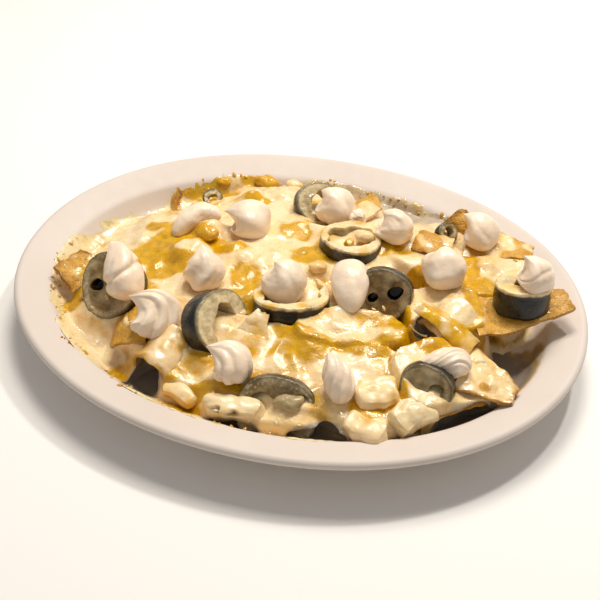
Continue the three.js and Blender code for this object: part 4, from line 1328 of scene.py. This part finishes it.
# %% Curds, threads, seeds and crumbs
# x, y, z, half length, half width, half height, heading, how golden
CURDS = [
    (11.4, 3.5, 33.5, 4.6, 3.6, 3, 20, 0.3), (28, 32, 35.5, 5, 3.6, 3, 10, 0.15),
    (21, 26, 34.5, 3.5, 2.6, 2, 80, 0.5), (-44, 84, 19, 8, 4.5, 4, -6, 0.9),
    (-70, 79, 17, 4.5, 3, 3, 20, 0.8), (-29, 88, 18, 5, 3.5, 2.6, 0, 0.1),
    (-16, -33, 27, 3, 2.4, 2, 40, 0.2), (98, -31, 27, 4, 2.6, 2.4, 30, 0.05),
    (104, -36, 24, 3.6, 2.6, 2, -20, 0.1), (64, 25, 32, 5, 3, 2.4, -20, 0.5),
    (-98, -36, 19, 4, 3, 2.4, 50, 0.6), (-53, 15, 31, 6, 5.4, 4.2, 0, 0.7),
]
# where a thread starts, how it sags and where it ends
THREADS = [
    ((113, 3, 37), (114, 0.6, 33), (114.5, 0.2, 28)), ((117, 5, 36), (119, 2.5, 33), (118, 2.5, 27)),
    ((12, -35, 29), (11, -38, 27), (12, -41, 27)), ((64, -22, 33), (68, -24, 29), (73, -23, 29)),
]
# x, y, z, heading, tilt
SEEDS = [
    (50, -16, 34, 20, 60), (45, -15, 31, 70, 50), (-84, -40, 24, 10, 50), (-90, -45, 20, 60, 50),
    (20, -85, 17, 30, 60), (30, -84, 18, 110, 50), (84, -60, 27, 50, 30), (-9, 55, 28, 0, 40),
]
SEED_SIZES = (1.5, 1.3, 0.6)
# the pale core that the seeds hung from: x, y, z, heading, tilt
CORE = (22.5, -76, 21, 8, -12)
CORE_SIZES = (7.2, 4.2, 4)
CRUMBS, CRUMB_DRAWS = 150, 77
FRONT_SHARE = 0.45  # of the crumbs: they lie round the left and front, and the rest along the back


def pebble(half_sizes, seed, segments=24, rough=0.16):
    """A rounded lump about the origin."""
    piece = start_ball("pebble", segments, segments // 2)
    ball = points_of(piece)
    ball *= 1 + rough * bumps(ball, 0.7, seed)[:, None]
    move_points(piece, ball * half_sizes)
    return piece


def set_down(piece, x, y, z, heading, tilt=0):
    move_points(piece, laid(points_of(piece), "Y", tilt, heading, (x, y, z)))
    return piece


def curd(spec, index):
    x, y, z, length, width, height, heading, gold = spec
    piece = set_down(pebble((length, width, height), index), x, y, z, heading)
    store(piece, "gold", gold)
    return piece


def thread(start, sag, end):
    """A drawn thread, thicker at both ends."""
    piece = start_ball("thread", 10, 24)
    ball = points_of(piece)
    run, middle, width, away = along_curve(ball, start, sag, end, 0)
    angle = np.arctan2(ball[:, 1], ball[:, 0])
    thick = (0.3 + 0.9 * np.abs(2 * run - 1) ** 3) * np.sin(np.pi * np.clip(run, 0.03, 0.97)) ** 0.2
    across = width * np.cos(angle)[:, None] + away * np.sin(angle)[:, None]
    move_points(piece, middle + closed(run, thick)[:, None] * across)
    return piece


def seed(spec):
    piece = set_down(pebble(SEED_SIZES, 9, 16, 0.1), *spec)
    store(piece, "pale", 1.0)
    return piece


def crumb(draw, index):
    """A crumb somewhere along the edge of the film, on whichever is higher, cheese or glaze."""
    first = 170 if draw() < FRONT_SHARE else 30
    bearing = math.radians(first + 110 * draw())
    radius = HALF_WIDTH - film_edge(bearing) - 4 * (draw() - 0.1)
    spot = to_oval(np.array([[radius * math.cos(bearing), radius * math.sin(bearing), 0]]))
    x, y = spot[:, 0], spot[:, 1]
    size = 0.3 + 0.7 * draw() ** 2
    piece = pebble((size * (1 + draw()), size, 0.6 * size), index, 8, 0.3)
    top = max(cheese_height(x, y)[0], platter_height(inset_at(x, y))[0])
    set_down(piece, x[0], y[0], top + 0.2 * size, 360 * draw(), 40 * draw())
    store(piece, "browned", 0.2 + 0.8 * draw())
    store(piece, "gold", 0.6)
    return piece


curds = joined("cheese_curds", [curd(spec, index) for index, spec in enumerate(CURDS)])
serve(curds, CHEESE, smooth=60)
threads = joined("cheese_threads", [thread(*spec) for spec in THREADS])
serve(threads, CHEESE, smooth=60)
core = set_down(pebble(CORE_SIZES, 14, 32, 0.25), *CORE)
store(core, "pale", 0.45)
seeds = joined("pepper_seeds", [core, *map(seed, SEEDS)])
serve(seeds, PEPPER, smooth=60)
draw_crumb = seeded(CRUMB_DRAWS)
crumbs = joined("baked_crumbs", [crumb(draw_crumb, index) for index in range(CRUMBS)])
serve(crumbs, CHEESE, smooth=60)
print("small pieces:", len(CURDS), "curds,", len(THREADS), "threads,", len(SEEDS), "seeds,", CRUMBS, "crumbs")

# %% [markdown]
# ## The table and the light
#
# The floor is a plain pale sheet. A large soft light stands overhead and a little behind, so that
# the shaded sides face the viewer, and a smaller one gives the oil its sharp small lights.

# %% The table and the light
floor = start_piece("table", bpy.ops.mesh.primitive_plane_add, size=8)
floor.data.materials.append(Finish("pale_table").made({"Base Color": "#f7f5f2", "Roughness": 0.8}))

LIGHT_AIM, LIGHT_DISTANCE = (0, 0, 20), 900


def add_light(name, bearing, height, size, power, tint):
    bpy.ops.object.light_add(type="AREA")
    light = bpy.context.object
    light.name = name
    light.data.size = size * MM
    light.data.energy = power
    light.data.color = colour(tint)[:3]
    point_at(light, on_sphere(LIGHT_AIM, bearing, height, LIGHT_DISTANCE), LIGHT_AIM)


# bearing from the front and height, both in degrees, size, power and tint
add_light("overhead", 188, 68, 300, 6.0, "#fff6ea")
add_light("sparkle", 150, 60, 60, 3.0, "#fffaf2")
world = bpy.data.worlds.new("studio")
world.use_nodes = True
world.node_tree.nodes["Background"].inputs["Color"].default_value = (1.0, 0.98, 0.95, 1)
world.node_tree.nodes["Background"].inputs["Strength"].default_value = 0.33
bpy.context.scene.world = world
bpy.context.scene.view_settings.view_transform = "Standard"
